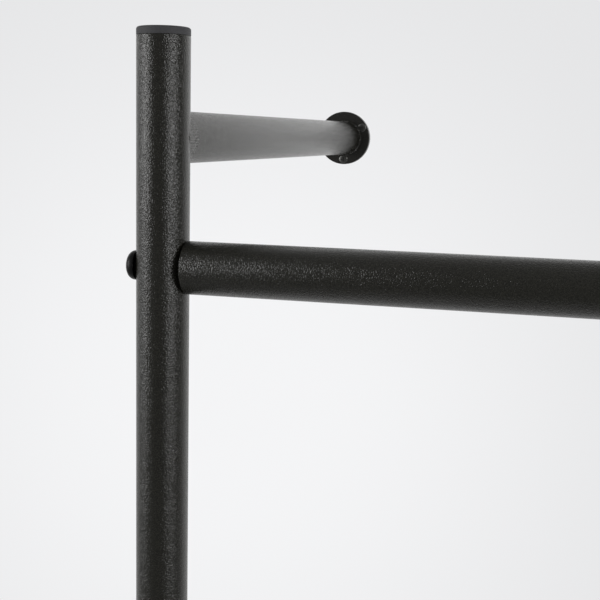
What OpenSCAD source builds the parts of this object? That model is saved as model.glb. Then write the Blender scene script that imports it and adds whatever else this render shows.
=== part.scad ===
// Wall-hung electric towel warmer: two posts, five heated rails, four wall arms.
// Origin: on the wall plane, at the centre of the four wall rosettes.
// X runs along the rails, +Y into the wall, +Z up. All sizes in millimetres.

/* [Rack] */
// Distance between the axes of the two posts
post_spacing = 500; // [400:10:800]
// Distance from one rail's axis to the next
rail_pitch = 220; // [190:5:280]
// Distance from the wall to the posts' axes
stand_off = 370; // [90:5:400]
// Height between a wall arm's axis and the nearest rail's axis
arm_to_rail = 60; // [45:1:90]
// Height from a wall arm's axis to the end of the capped post
arm_to_end = 50; // [35:1:80]

/* [Tube] */
// Outer diameter of the posts, rails and arms
tube_d = 25; // [25:0.5:30]
// Wall thickness of the tubes
tube_wall = 1.5; // [1.2:0.1:2]

/* [Rosettes] */
// Diameter of a wall rosette
rosette_d = 40; // [40:1:60]
// Thickness of a wall rosette
rosette_t = 4; // [3:0.5:6]
// Diameter of the circle of its screw holes
rosette_pcd = 32.5; // [32:0.5:33]
// Diameter of a screw hole
rosette_hole_d = 3.6; // [3.2:0.1:4]

/* [End caps] */
// Thickness of a cap's visible brim
cap_brim = 4; // [3:0.5:6]
// Radius of the brim's outer edge
cap_edge = 1.2; // [0.5:0.1:2]
// Length of the plug inside the tube
cap_plug = 14; // [8:1:20]

/* [Rail fixings] */
// Shank diameter of the solid bolts on the left
bolt_d = 8; // [6:1:8]
// Shank diameter of the hollow bolts on the right
hollow_bolt_d = 10; // [10:0.5:10.5]
// Length of the bolts under the head
bolt_length = 40; // [36:1:42]
// Length of the threaded plugs in the rail ends
rail_plug = 18; // [16:1:24]

/* [Heating] */
// Diameter of a heating element
element_d = 8; // [6:0.5:9]
// Length of a heating element
element_length = 400; // [200:10:400]

/* [Control] */
// Width of the control housing
control_w = 58; // [58:1:66]
// Depth of the control housing
control_d = 50; // [50:1:60]
// Height of the control housing
control_h = 92; // [92:1:110]
// Wall thickness of the control housing
control_wall = 2.4; // [2:0.1:3]
// Diameter of the thermostat knob
knob_d = 34; // [28:1:34]
// Tilt of the rocker from its middle position, in degrees
rocker_tilt = 9; // [6:1:10]
// Bore of the cable gland
gland_bore = 7; // [5:0.5:7.5]

/* [Colours] */
// Powder coat of the tubes
paint = "#1b1b1b";
// Enamel of the rosettes and bolts
enamel = "#101011";
// Moulded plastic
plastic = "#333436";
// Bright steel
steel = "#a9abad";

/* [Hidden] */
$fn = 96;

fit = 0.05;              // radial play of a piece pushed into another
eps = 0.5;               // overrun of a cut past a face
rail_count = 5;
tube_r = tube_d / 2;
bore_r = tube_r - tube_wall;
post_x = post_spacing / 2;
rail_end = post_x - tube_r;
arm_z = (rail_count - 1) / 2 * rail_pitch + arm_to_rail;
post_end = arm_z + arm_to_end - cap_brim;
arm_hole_r = rosette_pcd / 2;

bolt_head_h = 4.4;
bolt_head_r = 7;
hollow_head_r = 8;
hollow_bore_r = 3;
lead_r = 1.5;
trunk_r = 2.2;
trunk_y = bore_r - trunk_r - 1;
trunk_jog = 50;          // height above the post's lower end where the loom moves off the axis

split_y = -12.5;         // where the housing parts, from the post's axis
seal_t = 1;
spigot_h = 28;
spigot_wall = 2.4;
post_screw_z = 14;
knob_z = -30;
lens_z = -52;
rocker_z = -68;
screw_x = 21;            // cover screws
screw_z = [-9, -83];
board_screw_x = 10;
board_screw_z = [-16, -78];
boss_r = 3.5;
board = [33, 1.6, 74];
board_y = 4;
pot_r = 8;
shaft_r = 3;
pin_r = 1;
frame_y = -26.5;         // front face of the rocker's frame
pivot_y = -23;
rocker_mouth = [11.2, 18];
rocker_case = [13, 20];
rocker_bezel = [16, 23];
case_back = -13;        // rear of the rocker frame's body
blade_z = 5;             // the blades, above and below the rocker's middle
cover_screw_r = 1.5;
board_screw_r = 1.25;
post_screw_r = 2;
board_boss_r = 2.6;
sink_depth = 5;          // counterbores of the cover screws
lens_stem_r = 1.7;
component_y = board_y + board[1];
gland_y = 6;
gland_thread_r = 6;
gland_neck_r = 6.6;
gland_flats = 17;

function rail_z(i) = ((rail_count - 1) / 2 - i) * rail_pitch;

// ---------- helpers ----------

// Round tube along Z, standing on its lower end
module tube(length) {
    difference() {
        cylinder(r = tube_r, h = length);
        translate([0, 0, -eps]) cylinder(r = bore_r, h = length + 2 * eps);
    }
}

// Rod along X from one x to another, at the given y and z
module rod_x(from, to, r, y = 0, z = 0) {
    translate([from, y, z]) rotate([0, 90, 0]) cylinder(r = r, h = to - from);
}

// Rod along Y from one y to another, at the given x and z
module rod_y(from, to, r, x = 0, z = 0) {
    translate([x, from, z]) rotate([-90, 0, 0]) cylinder(r = r, h = to - from);
}

// Block spanning two y planes, centred on x and z
module block_y(from, to, w, h, x = 0, z = 0) {
    translate([x - w / 2, from, z - h / 2]) cube([w, to - from, h]);
}

// Disc with a rounded upper edge, standing on Z = 0
module round_edged_disc(r, h, edge) {
    rotate_extrude() {
        square([r - edge, h]);
        square([r, h - edge]);
        intersection() {
            translate([r - edge, h - edge]) circle(r = edge);
            square([r, h]);
        }
    }
}

// Button head with a hex socket; the head stands up from Z = 0
module button_head(r, h, socket) {
    rim = 1;
    flat = r * 0.52;
    centre = (r * r + rim * rim - flat * flat - h * h) / (2 * (rim - h));
    dome = sqrt(r * r + pow(rim - centre, 2));
    difference() {
        rotate_extrude() intersection() {
            translate([0, centre]) circle(r = dome);
            square([r, h]);
        }
        translate([0, 0, h * 0.45]) cylinder(d = socket / cos(30), h = h, $fn = 6);
    }
}

// Rectangle with round corners, centred
module round_rect(w, d, r) {
    square([w - 2 * r, d], center = true);
    square([w, d - 2 * r], center = true);
    for (x = [-1, 1], y = [-1, 1])
        translate([x * (w / 2 - r), y * (d / 2 - r)]) circle(r = r);
}

// Places its children at the rack's posts: side -1 is left, 1 is right
module at_post(side) {
    translate([side * post_x, -stand_off, 0]) children();
}

// Places its children at the control's reference: the right post's axis and lower end
module at_control() {
    translate([post_x, -stand_off, -post_end]) children();
}

// ---------- frame ----------

module post(side, hole_d) {
    color(paint) at_post(side) difference() {
        translate([0, 0, -post_end]) tube(2 * post_end);
        for (i = [0 : rail_count - 1])
            rod_x(-tube_d, tube_d, hole_d / 2 + 0.2, z = rail_z(i));
        if (side > 0)
            rod_y(0, tube_d, post_screw_r + 0.2, z = post_screw_z - post_end);
    }
}

module left_post() { post(-1, bolt_d); }

module right_post() { post(1, hollow_bolt_d); }

// Push-in cap: a hollow plug with gripping fins under a rounded brim
module end_cap() {
    fin_r = bore_r - fit;
    round_edged_disc(tube_r, cap_brim, cap_edge);
    translate([0, 0, -cap_plug]) difference() {
        union() {
            cylinder(r = fin_r - 1, h = cap_plug);
            for (z = [2 : 4 : cap_plug - 2])
                translate([0, 0, z]) cylinder(r = fin_r, h = 1.2);
        }
        translate([0, 0, -eps]) cylinder(r = fin_r - 2.8, h = cap_plug + eps);
    }
}

module cap_upper_left() { color(plastic) at_post(-1) translate([0, 0, post_end]) end_cap(); }

module cap_upper_right() { color(plastic) at_post(1) translate([0, 0, post_end]) end_cap(); }

module cap_lower_left() {
    color(plastic) at_post(-1) translate([0, 0, -post_end]) rotate([180, 0, 0]) end_cap();
}

module rail(i) {
    color(paint) translate([-rail_end, -stand_off, rail_z(i)])
        rotate([0, 90, 0]) tube(2 * rail_end);
}

module rail_top() { rail(0); }

module rail_upper() { rail(1); }

module rail_middle() { rail(2); }

module rail_lower() { rail(3); }

module rail_bottom() { rail(4); }

// Threaded plugs, one in each rail's end
module rail_plugs(side, hole_r) {
    color(enamel) for (i = [0 : rail_count - 1])
        translate([side * rail_end, -stand_off, rail_z(i)]) rotate([0, -90 * side, 0])
            difference() {
                cylinder(r = bore_r - fit, h = rail_plug);
                translate([0, 0, -eps]) cylinder(r = hole_r, h = rail_plug + 2 * eps);
            }
}

module left_rail_plugs() { rail_plugs(-1, bolt_d / 2 + fit); }

module right_rail_plugs() { rail_plugs(1, hollow_bolt_d / 2 + fit); }

module left_rail_bolts() {
    color(enamel) for (i = [0 : rail_count - 1])
        translate([-post_x - tube_r, -stand_off, rail_z(i)]) {
            rotate([0, -90, 0]) button_head(bolt_head_r, bolt_head_h, 5);
            rod_x(0, bolt_length, bolt_d / 2);
        }
}

// Hollow bolts: bored from the tip, with a window to the back for the leads
module hollow_rail_bolts() {
    color(enamel) for (i = [0 : rail_count - 1])
        translate([post_x + tube_r, -stand_off, rail_z(i)]) {
            rotate([0, 90, 0]) button_head(hollow_head_r, bolt_head_h, 6);
            difference() {
                rod_x(-bolt_length, 0, hollow_bolt_d / 2);
                rod_x(-bolt_length - eps, -tube_r + hollow_bore_r, hollow_bore_r);
                rod_y(0, hollow_bolt_d, lead_r + 0.8, x = -tube_r);
            }
        }
}

// ---------- wall arms and rosettes ----------

// Arm tube, its front end notched to the post's round back, with the notch's tips cut blunt
module arm(side, level) {
    blunt = 1;
    color(paint) translate([side * post_x, 0, level * arm_z]) difference() {
        translate([0, -rosette_t, 0]) rotate([90, 0, 0]) tube(stand_off - rosette_t - blunt);
        translate([0, -stand_off, -tube_d]) cylinder(r = tube_r, h = 2 * tube_d);
    }
}

module arm_upper_left() { arm(-1, 1); }

module arm_upper_right() { arm(1, 1); }

module arm_lower_left() { arm(-1, -1); }

module arm_lower_right() { arm(1, -1); }

// Wall plate with three countersunk screw holes, one of them straight below the arm
module rosette(side, level) {
    sink_r = 3.3;
    color(enamel) translate([side * post_x, 0, level * arm_z]) rotate([90, 0, 0]) difference() {
        round_edged_disc(rosette_d / 2, rosette_t, 0.6);
        for (turn = [30, 150, 270])
            rotate(turn) translate([arm_hole_r, 0, 0]) {
                translate([0, 0, -eps]) cylinder(d = rosette_hole_d, h = rosette_t + 2 * eps);
                translate([0, 0, rosette_t - sink_r + rosette_hole_d / 2])
                    cylinder(r1 = rosette_hole_d / 2, r2 = sink_r, h = sink_r - rosette_hole_d / 2);
                translate([0, 0, rosette_t - 0.01]) cylinder(r = sink_r, h = eps);
            }
    }
}

module rosette_upper_left() { rosette(-1, 1); }

module rosette_upper_right() { rosette(1, 1); }

module rosette_lower_left() { rosette(-1, -1); }

module rosette_lower_right() { rosette(1, -1); }

// ---------- heating ----------

// Sheathed heating rod with a crimped sleeve where its lead enters
module element(i) {
    sleeve = 14;
    color(steel) translate([0, -stand_off, rail_z(i)]) {
        rod_x(-element_length / 2, element_length / 2, element_d / 2);
        rod_x(element_length / 2 - sleeve, element_length / 2, element_d / 2 + 0.6);
    }
}

module element_top() { element(0); }

module element_upper() { element(1); }

module element_middle() { element(2); }

module element_lower() { element(3); }

module element_bottom() { element(4); }

// Ceramic rings that hold the elements on the rails' axes
module element_bushes() {
    bush_x = element_length / 2 - 30;
    color("ivory") for (i = [0 : rail_count - 1], side = [-1, 1])
        translate([side * bush_x, -stand_off, rail_z(i)]) difference() {
            rod_x(-4, 4, bore_r - fit);
            rod_x(-5, 5, element_d / 2 + fit);
        }
}

// Trunk in the right post, with a lead through each hollow bolt to its element
module wiring_loom() {
    foot = 20;           // how far the trunk hangs down into the control housing
    color("dimgray") at_post(1) {
        translate([0, 0, -post_end - foot]) cylinder(r = trunk_r, h = foot + trunk_jog);
        translate([0, 0, trunk_jog - post_end]) sphere(r = trunk_r);
        rod_y(0, trunk_y, trunk_r, z = trunk_jog - post_end);
        translate([0, trunk_y, trunk_jog - post_end]) {
            sphere(r = trunk_r);
            cylinder(r = trunk_r, h = rail_z(0) + post_end - trunk_jog);
        }
        translate([0, trunk_y, rail_z(0)]) sphere(r = trunk_r);
        for (i = [0 : rail_count - 1]) {
            rod_y(0, trunk_y, lead_r, z = rail_z(i));
            translate([0, 0, rail_z(i)]) sphere(r = lead_r);
            rod_x(element_length / 2 - post_x, 0, lead_r, z = rail_z(i));
        }
    }
}

// ---------- control ----------

// Closed block of the housing between two y planes
module housing_block(from, to, inset = 0) {
    corner = 12;
    intersection() {
        translate([0, 0, inset - control_h]) linear_extrude(control_h - 2 * inset)
            round_rect(control_w - 2 * inset, control_d - 2 * inset, corner - inset);
        block_y(from, to, 2 * control_w, 3 * control_h);
    }
}

module at_cover_screws() {
    for (x = [-screw_x, screw_x], z = screw_z) translate([x, 0, z]) children();
}

module at_board_screws() {
    for (x = [-board_screw_x, board_screw_x], z = board_screw_z) translate([x, 0, z]) children();
}

// Rear shell with the spigot that goes into the post, and four screw bosses
module control_body() {
    back = control_d / 2;
    color(plastic) at_control() difference() {
        union() {
            difference() {
                housing_block(split_y, back);
                housing_block(split_y - eps, back - control_wall, control_wall);
            }
            at_cover_screws() rod_y(split_y, back - 1, boss_r);
            at_board_screws() rod_y(component_y, back - 1, board_boss_r);
            translate([0, 0, -eps]) cylinder(r = bore_r - fit, h = spigot_h + eps);
        }
        translate([0, 0, -control_wall - eps])
            cylinder(r = bore_r - fit - spigot_wall, h = spigot_h + control_wall + 2 * eps);
        at_cover_screws() rod_y(split_y - eps, -3, cover_screw_r + fit);
        at_board_screws() rod_y(0, 14, board_screw_r + fit);
        rod_y(0, tube_d, post_screw_r + fit, z = post_screw_z);
        translate([0, gland_y, -control_h - eps])
            cylinder(r = gland_thread_r + 0.2, h = control_wall + 2 * eps);
    }
}

// Front shell, with openings for the shaft, the lens and the rocker switch
module control_cover() {
    front = -control_d / 2;
    rear = split_y - seal_t;
    color(plastic) at_control() difference() {
        union() {
            difference() {
                housing_block(front, rear);
                housing_block(front + control_wall, rear + eps, control_wall);
            }
            at_cover_screws() rod_y(front + 1, rear, boss_r);
        }
        at_cover_screws() {
            rod_y(front - eps, front + sink_depth, 3);
            rod_y(front, rear + eps, cover_screw_r + 0.2);
        }
        rod_y(front - eps, front + sink_depth, shaft_r + 0.8, z = knob_z);
        rod_y(front - eps, front + sink_depth, lens_stem_r + fit, z = lens_z);
        block_y(front - eps, front + sink_depth, rocker_case[0] + 0.4, rocker_case[1] + 0.4,
            z = rocker_z);
    }
}

module control_seal() {
    color("black") at_control() difference() {
        intersection() {
            housing_block(split_y - seal_t, split_y, 0.5);
            block_y(split_y - seal_t, split_y, control_w, 3 * control_h);
        }
        housing_block(split_y - seal_t - eps, split_y + eps, control_wall);
    }
}

module control_screws() {
    seat = sink_depth - control_d / 2;
    color(steel) at_control() at_cover_screws() {
        translate([0, seat, 0]) rotate([90, 0, 0]) button_head(2.8, 2, 2);
        rod_y(seat, -5, cover_screw_r);
    }
}

// Screw through the post's back that locks the spigot
module control_post_screw() {
    color(enamel) at_control() translate([0, 0, post_screw_z]) {
        translate([0, tube_r, 0]) rotate([-90, 0, 0]) button_head(3.8, 2.2, 2.5);
        rod_y(bore_r - fit - spigot_wall, tube_r, post_screw_r);
    }
}

module circuit_board() {
    color("#1f5f3a") at_control() difference() {
        block_y(board_y, component_y, board[0], board[2], z = -control_h / 2 - 1);
        at_board_screws() rod_y(board_y - eps, component_y + eps, board_screw_r + 0.15);
    }
}

module board_screws() {
    color(steel) at_control() at_board_screws() translate([0, board_y, 0]) {
        rotate([90, 0, 0]) button_head(2.2, 1.6, 1.6);
        rod_y(0, 8, board_screw_r);
    }
}

module power_relay() {
    color("#24415c") at_control()
        block_y(component_y, component_y + 15, 15.5, 19, z = -46);
}

// Three-way terminal block on the back of the board
module terminal_block() {
    way = 5;
    block_h = 8;
    block_z = -68;
    color("#2f7d4f") at_control() translate([0, component_y, block_z]) difference() {
        block_y(0, 10, 3 * way + 0.2, block_h);
        for (x = [-way, 0, way]) {
            translate([x, 4, -block_h]) cylinder(r = 1.5, h = block_h);
            rod_y(6, 11, 1.8, x);
        }
    }
}

module thermal_cutout() {
    color("silver") at_control() translate([0, component_y, -29]) {
        rod_y(0, 3, 5);
        rod_y(3, 6, 4);
    }
}

// Potentiometer: a round case with a threaded bush that guides the shaft
module thermostat_pot() {
    color(steel) at_control() difference() {
        union() {
            rod_y(board_y - 8, board_y, pot_r, z = knob_z);
            rod_y(-14, board_y - 8, 3.6, z = knob_z);
        }
        rod_y(-15, board_y - 6, shaft_r + fit, z = knob_z);
    }
}

module thermostat_shaft() {
    color("gold") at_control() rod_y(-38, board_y - 6.5, shaft_r, z = knob_z);
}

// Fluted knob on a thin skirt, with a raised pointer on its face
module thermostat_knob() {
    skirt_y = -control_d / 2 - 0.8;
    grip_r = knob_d / 2 - 3;
    grip_h = 14;
    skirt_h = 2.2;
    flutes = 16;
    flute_r = 1.8;
    color("#151516") at_control() translate([0, skirt_y, knob_z]) rotate([90, 0, 0]) difference() {
        union() {
            cylinder(r = knob_d / 2, h = skirt_h);
            round_edged_disc(grip_r, grip_h, 1.2);
            translate([-0.9, 3, grip_h - 0.5]) cube([1.8, grip_r - 4, 1.1]);
        }
        for (i = [0.5 : flutes - 0.5])
            rotate(i * 360 / flutes + 90) translate([grip_r + 1, 0, skirt_h])
                cylinder(r = flute_r, h = grip_h);
        translate([0, 0, -eps]) cylinder(r = shaft_r + fit, h = 12.7 + eps);
    }
}

// Rocker switch frame: a bezel, a hollow body with pivot holes, and two blades
module switch_frame() {
    front = -control_d / 2;
    color("black") at_control() translate([0, 0, rocker_z]) {
        difference() {
            union() {
                block_y(frame_y, front, rocker_bezel[0], rocker_bezel[1]);
                block_y(front, case_back, rocker_case[0], rocker_case[1]);
            }
            block_y(frame_y - eps, case_back - 2, rocker_mouth[0], rocker_mouth[1]);
            rod_x(-8, 8, pin_r + 0.06, pivot_y);
        }
        for (z = [-blade_z, blade_z]) block_y(case_back, case_back + 8, 4.8, 0.8, z = z);
    }
}

// Rocker with two faces that meet in a shallow valley; it rests with its lower end pressed in
module power_rocker() {
    half_w = 5.2;
    half_l = 8.2;
    face = -5;
    color("#0e0e0f") at_control() translate([0, pivot_y, rocker_z]) rotate([rocker_tilt, 0, 0]) {
        translate([half_w, 0, 0]) rotate([0, -90, 0]) linear_extrude(2 * half_w)
            polygon([
                [-half_l, face], [0, face + 1.1], [half_l, face],
                [half_l - 0.8, 0.5], [3, 3], [-3, 3], [-half_l + 0.8, 0.5]
            ]);
        rod_x(-6.2, 6.2, pin_r);
    }
}

module indicator_lens() {
    front = -control_d / 2;
    color("orangered") at_control() translate([0, 0, lens_z]) {
        rod_y(front, -12, lens_stem_r);
        translate([0, front, 0]) rotate([90, 0, 0]) round_edged_disc(2.3, 0.8, 0.5);
    }
}

// Gland body: flange under the housing, thread through its floor
module cable_gland() {
    color("#222223") at_control() translate([0, gland_y, -control_h]) difference() {
        union() {
            translate([0, 0, -5]) cylinder(d = gland_flats / cos(30), h = 5, $fn = 6);
            cylinder(r = gland_thread_r, h = 7);
            translate([0, 0, -13]) cylinder(r = gland_neck_r, h = 9);
        }
        translate([0, 0, -14]) cylinder(r = gland_bore / 2 + 0.3, h = 26);
        translate([0, 0, -14]) cylinder(r = 5.4, h = 8);
    }
}

module gland_lock_nut() {
    color("#222223") at_control() translate([0, gland_y, control_wall - control_h]) difference() {
        cylinder(d = (gland_flats - 1) / cos(30), h = 4, $fn = 6);
        translate([0, 0, -eps]) cylinder(r = gland_thread_r + fit, h = 5);
    }
}

// Cap nut that squeezes the seal round a lead
module gland_cap_nut() {
    color("#222223") at_control() translate([0, gland_y, -control_h]) difference() {
        union() {
            translate([0, 0, -14]) cylinder(d = gland_flats / cos(30), h = 8.5, $fn = 6);
            translate([0, 0, -19]) rotate([180, 0, 0]) translate([0, 0, -5.5])
                round_edged_disc(8, 5.5, 2.5);
        }
        translate([0, 0, -15.5]) cylinder(r = gland_neck_r + fit, h = 12);
        translate([0, 0, -20]) cylinder(r = gland_bore / 2, h = 8);
    }
}

module gland_seal() {
    color("black") at_control() translate([0, gland_y, -control_h - 15.4]) difference() {
        cylinder(r = 5.3, h = 9);
        translate([0, 0, -eps]) cylinder(r = gland_bore / 2, h = 10);
    }
}

left_post();
right_post();
cap_upper_left();
cap_upper_right();
cap_lower_left();
rail_top();
rail_upper();
rail_middle();
rail_lower();
rail_bottom();
left_rail_plugs();
right_rail_plugs();
left_rail_bolts();
hollow_rail_bolts();
arm_upper_left();
arm_upper_right();
arm_lower_left();
arm_lower_right();
rosette_upper_left();
rosette_upper_right();
rosette_lower_left();
rosette_lower_right();
element_top();
element_upper();
element_middle();
element_lower();
element_bottom();
element_bushes();
wiring_loom();
control_body();
control_cover();
control_seal();
control_screws();
control_post_screw();
circuit_board();
board_screws();
power_relay();
terminal_block();
thermal_cutout();
thermostat_pot();
thermostat_shaft();
thermostat_knob();
switch_frame();
power_rocker();
indicator_lens();
cable_gland();
gland_lock_nut();
gland_cap_nut();
gland_seal();
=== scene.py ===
"""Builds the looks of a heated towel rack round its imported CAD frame.

The rack stands on four arms in front of a wall: two upright tubes, five heated
rails between them, and a control unit that hangs under the right upright.
"""

import logging
import math
from abc import ABC, abstractmethod
from collections.abc import Callable, Iterable, Sequence
from dataclasses import dataclass, field
from enum import Enum
from typing import Any

import bmesh
import bpy
from mathutils import Matrix, Vector


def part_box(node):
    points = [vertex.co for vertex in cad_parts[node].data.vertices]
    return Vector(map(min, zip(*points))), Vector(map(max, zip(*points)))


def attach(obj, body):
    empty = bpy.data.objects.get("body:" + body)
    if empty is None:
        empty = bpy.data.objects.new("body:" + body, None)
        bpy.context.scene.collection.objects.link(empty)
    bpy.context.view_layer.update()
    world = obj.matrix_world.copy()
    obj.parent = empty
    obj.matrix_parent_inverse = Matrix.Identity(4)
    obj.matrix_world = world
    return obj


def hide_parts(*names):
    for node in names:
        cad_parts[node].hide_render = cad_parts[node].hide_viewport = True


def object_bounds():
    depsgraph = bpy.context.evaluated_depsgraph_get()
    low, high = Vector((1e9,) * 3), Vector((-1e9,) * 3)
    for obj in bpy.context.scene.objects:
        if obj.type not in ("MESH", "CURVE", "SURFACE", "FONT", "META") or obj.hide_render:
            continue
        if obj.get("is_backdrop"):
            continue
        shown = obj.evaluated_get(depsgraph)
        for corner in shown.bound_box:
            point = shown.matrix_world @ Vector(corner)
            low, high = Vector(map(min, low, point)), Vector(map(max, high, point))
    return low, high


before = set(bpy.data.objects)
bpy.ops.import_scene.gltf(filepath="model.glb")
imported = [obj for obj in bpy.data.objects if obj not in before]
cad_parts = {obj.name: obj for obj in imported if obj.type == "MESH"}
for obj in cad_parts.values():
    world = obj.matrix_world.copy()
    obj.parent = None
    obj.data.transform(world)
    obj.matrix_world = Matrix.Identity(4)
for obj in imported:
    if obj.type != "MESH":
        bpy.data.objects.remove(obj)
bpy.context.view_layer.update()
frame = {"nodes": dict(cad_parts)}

MM = 0.001
HAIR = 0.1 * MM
ROWS = ("top", "upper", "middle", "lower", "bottom")
ELEMENTS = [f"element_{row}" for row in ROWS]

log = logging.getLogger("rack")

Point = tuple[float, float]
Place = tuple[float, float, float]
Colour = tuple[float, float, float]


class Side(Enum):
    """The two uprights, by the sign of their X."""

    LEFT = -1
    RIGHT = 1


class Level(Enum):
    """The two heights of the wall arms, by the sign of their Z."""

    UPPER = 1
    LOWER = -1


class Body(Enum):
    """The rigid bodies that pieces ride on."""

    RACK = "rack"
    THERMOSTAT = "thermostat"
    ROCKER = "rocker"


# ---------------------------------------------------------------- shader maths


class Field:
    """A shader socket that is written like a number."""

    def __init__(self, graph: "ShaderGraph", socket: bpy.types.NodeSocket) -> None:
        """Wraps an output socket of a node in the graph.

        Args:
            graph: The graph that the socket's node is in.
            socket: The output socket.
        """
        self.graph = graph
        self.socket = socket

    def __add__(self, other: Any) -> "Field":
        """Adds a value or field."""
        return self.graph.math("ADD", self, other)

    def __radd__(self, other: Any) -> "Field":
        """Adds this field to a value."""
        return self.graph.math("ADD", other, self)

    def __sub__(self, other: Any) -> "Field":
        """Takes a value or field away."""
        return self.graph.math("SUBTRACT", self, other)

    def __rsub__(self, other: Any) -> "Field":
        """Takes this field from a value."""
        return self.graph.math("SUBTRACT", other, self)

    def __mul__(self, other: Any) -> "Field":
        """Multiplies by a value or field."""
        return self.graph.math("MULTIPLY", self, other)

    def __rmul__(self, other: Any) -> "Field":
        """Multiplies a value by this field."""
        return self.graph.math("MULTIPLY", other, self)


class ShaderGraph:
    """The node tree of one material or world, built by expressions."""

    def __init__(self, tree: bpy.types.NodeTree) -> None:
        """Empties a node tree to build in it.

        Args:
            tree: The node tree of a material or world.
        """
        self.tree = tree
        tree.nodes.clear()

    def feed(self, socket: bpy.types.NodeSocket, value: Any) -> None:
        """Links a field to an input socket, or sets the socket's own value.

        Args:
            socket: The input socket.
            value: A field, or a number, vector or colour.
        """
        if isinstance(value, Field):
            self.tree.links.new(value.socket, socket)
        elif isinstance(value, tuple) and len(value) < len(socket.default_value):
            socket.default_value = (*value, 1.0)
        else:
            socket.default_value = value

    def add(
        self,
        kind: str,
        settings: dict[str, Any] | None = None,
        values: dict[str | int, Any] | None = None,
        output: str | int = 0,
    ) -> Field:
        """Adds a node, sets it up, and feeds its sockets.

        Args:
            kind: The node's type, without the ShaderNode at its front.
            settings: The node's own settings; "stops" holds a ramp's stops.
            values: A value or field for each input socket named.
            output: The output socket to return.

        Returns:
            The output as a field.
        """
        node = self.tree.nodes.new("ShaderNode" + kind)
        for name, value in (settings or {}).items():
            if name == "stops":
                for element, (place, grey) in zip(node.color_ramp.elements, value):
                    element.position = place
                    element.color = (grey, grey, grey, 1.0)
            else:
                setattr(node, name, value)
        for key, value in (values or {}).items():
            self.feed(node.inputs[key], value)
        return Field(self, node.outputs[output]) if len(node.outputs) else None

    def math(self, operation: str, first: Any, second: Any = 0.0) -> Field:
        """Adds a Math node on two values or fields.

        Args:
            operation: The node's operation.
            first: The first operand.
            second: The second operand, where the operation has one.

        Returns:
            The result.
        """
        return self.add("Math", {"operation": operation}, {0: first, 1: second})

    def coordinates(self, stretch: Place = (1.0, 1.0, 1.0)) -> Field:
        """Gives the Object coordinates, stretched along the axes.

        Args:
            stretch: The factor of each axis.

        Returns:
            The coordinates in metres, times the factors.
        """
        place = self.add("TexCoord", output="Object")
        if stretch == (1.0, 1.0, 1.0):
            return place
        return self.add("VectorMath", {"operation": "MULTIPLY"}, {0: place, 1: stretch})

    def noise(
        self,
        grain: float,
        detail: float = 2.0,
        rough: float = 0.5,
        stretch: Place = (1.0, 1.0, 1.0),
    ) -> Field:
        """Adds a noise pattern of a real size.

        Args:
            grain: The width of one grain in metres.
            detail: How many finer layers it has.
            rough: How strong the finer layers are.
            stretch: The factor of each axis, before the pattern is read.

        Returns:
            The pattern, from 0 to 1.
        """
        return self.add(
            "TexNoise",
            {"noise_dimensions": "3D"},
            {
                "Vector": self.coordinates(stretch),
                "Scale": 1.0 / grain,
                "Detail": detail,
                "Roughness": rough,
            },
        )

    def span(
        self, value: Field, start: float, end: float, low: float, high: float
    ) -> Field:
        """Maps a value smoothly from one range to another, and clamps it.

        Args:
            value: The value to map.
            start: The value that gives low.
            end: The value that gives high.
            low: The first result.
            high: The last result.

        Returns:
            The mapped value.
        """
        return self.add(
            "MapRange",
            {"interpolation_type": "SMOOTHSTEP"},
            {0: value, 1: start, 2: end, 3: low, 4: high},
        )

    def blend(self, share: Field, first: Colour, second: Colour) -> Field:
        """Mixes two colours by a share.

        Args:
            share: The share of the second colour.
            first: The colour at 0.
            second: The colour at 1.

        Returns:
            The mixed colour.
        """
        return self.add(
            "Mix",
            {"data_type": "RGBA"},
            {"Factor": share, 6: first, 7: second},
            output=2,
        )

    def bump(self, height: Field, relief: float, strength: float) -> Field:
        """Turns a height pattern into surface relief.

        Args:
            height: The pattern, from 0 to 1.
            relief: The height of the pattern in metres.
            strength: The share of the relief that shows.

        Returns:
            The normal.
        """
        return self.add(
            "Bump", None, {"Strength": strength, "Distance": relief, "Height": height}
        )

    def surface(self, sockets: dict[str, Any]) -> None:
        """Ends a material in one Principled shader.

        Args:
            sockets: A value or field for each of the shader's sockets named.
        """
        shader = self.add("BsdfPrincipled", None, sockets)
        self.add("OutputMaterial", None, {"Surface": shader})


# -------------------------------------------------------------------- finishes


@dataclass(frozen=True)
class Finish(ABC):
    """A finish that pieces share, made into a material the first time it's used."""

    name: str

    @abstractmethod
    def paint(self, graph: ShaderGraph) -> None:
        """Builds the finish in an empty graph.

        Args:
            graph: The graph of the material.
        """

    def material(self) -> bpy.types.Material:
        """Finds or makes the material.

        Returns:
            The material of this finish.
        """
        made = bpy.data.materials.get(self.name)
        if made is None:
            made = bpy.data.materials.new(self.name)
            made.use_nodes = True
            self.paint(ShaderGraph(made.node_tree))
        return made


@dataclass(frozen=True)
class PowderCoat(Finish):
    """Matt black powder coat with a fine sandy texture."""

    dark: Colour = (0.0080, 0.0077, 0.0054)
    light: Colour = (0.0200, 0.0195, 0.0150)
    grain: float = 0.56 * MM
    relief: float = 0.27 * MM
    strength: float = 1.0
    gloss: float = 0.16
    matt: float = 0.24
    peel: float = 9.0
    peel_share: float = 0.04
    crests: Point = (0.32, 0.68)

    def paint(self, graph: ShaderGraph) -> None:
        """Builds sandy grain over a slow orange peel.

        Args:
            graph: The graph of the material.
        """
        sand = graph.noise(self.grain, detail=0.5, rough=0.5)
        peel = graph.noise(self.peel * self.grain, detail=1.0)
        height = (1.0 - self.peel_share) * sand + self.peel_share * peel
        crest = graph.span(sand, *self.crests, 0.0, 1.0)
        graph.surface(
            {
                "Base Color": graph.blend(crest, self.dark, self.light),
                "Roughness": graph.span(sand, 0.3, 0.7, self.matt, self.gloss),
                "IOR": 1.5,
                "Normal": graph.bump(height, self.relief, self.strength),
            }
        )


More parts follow.
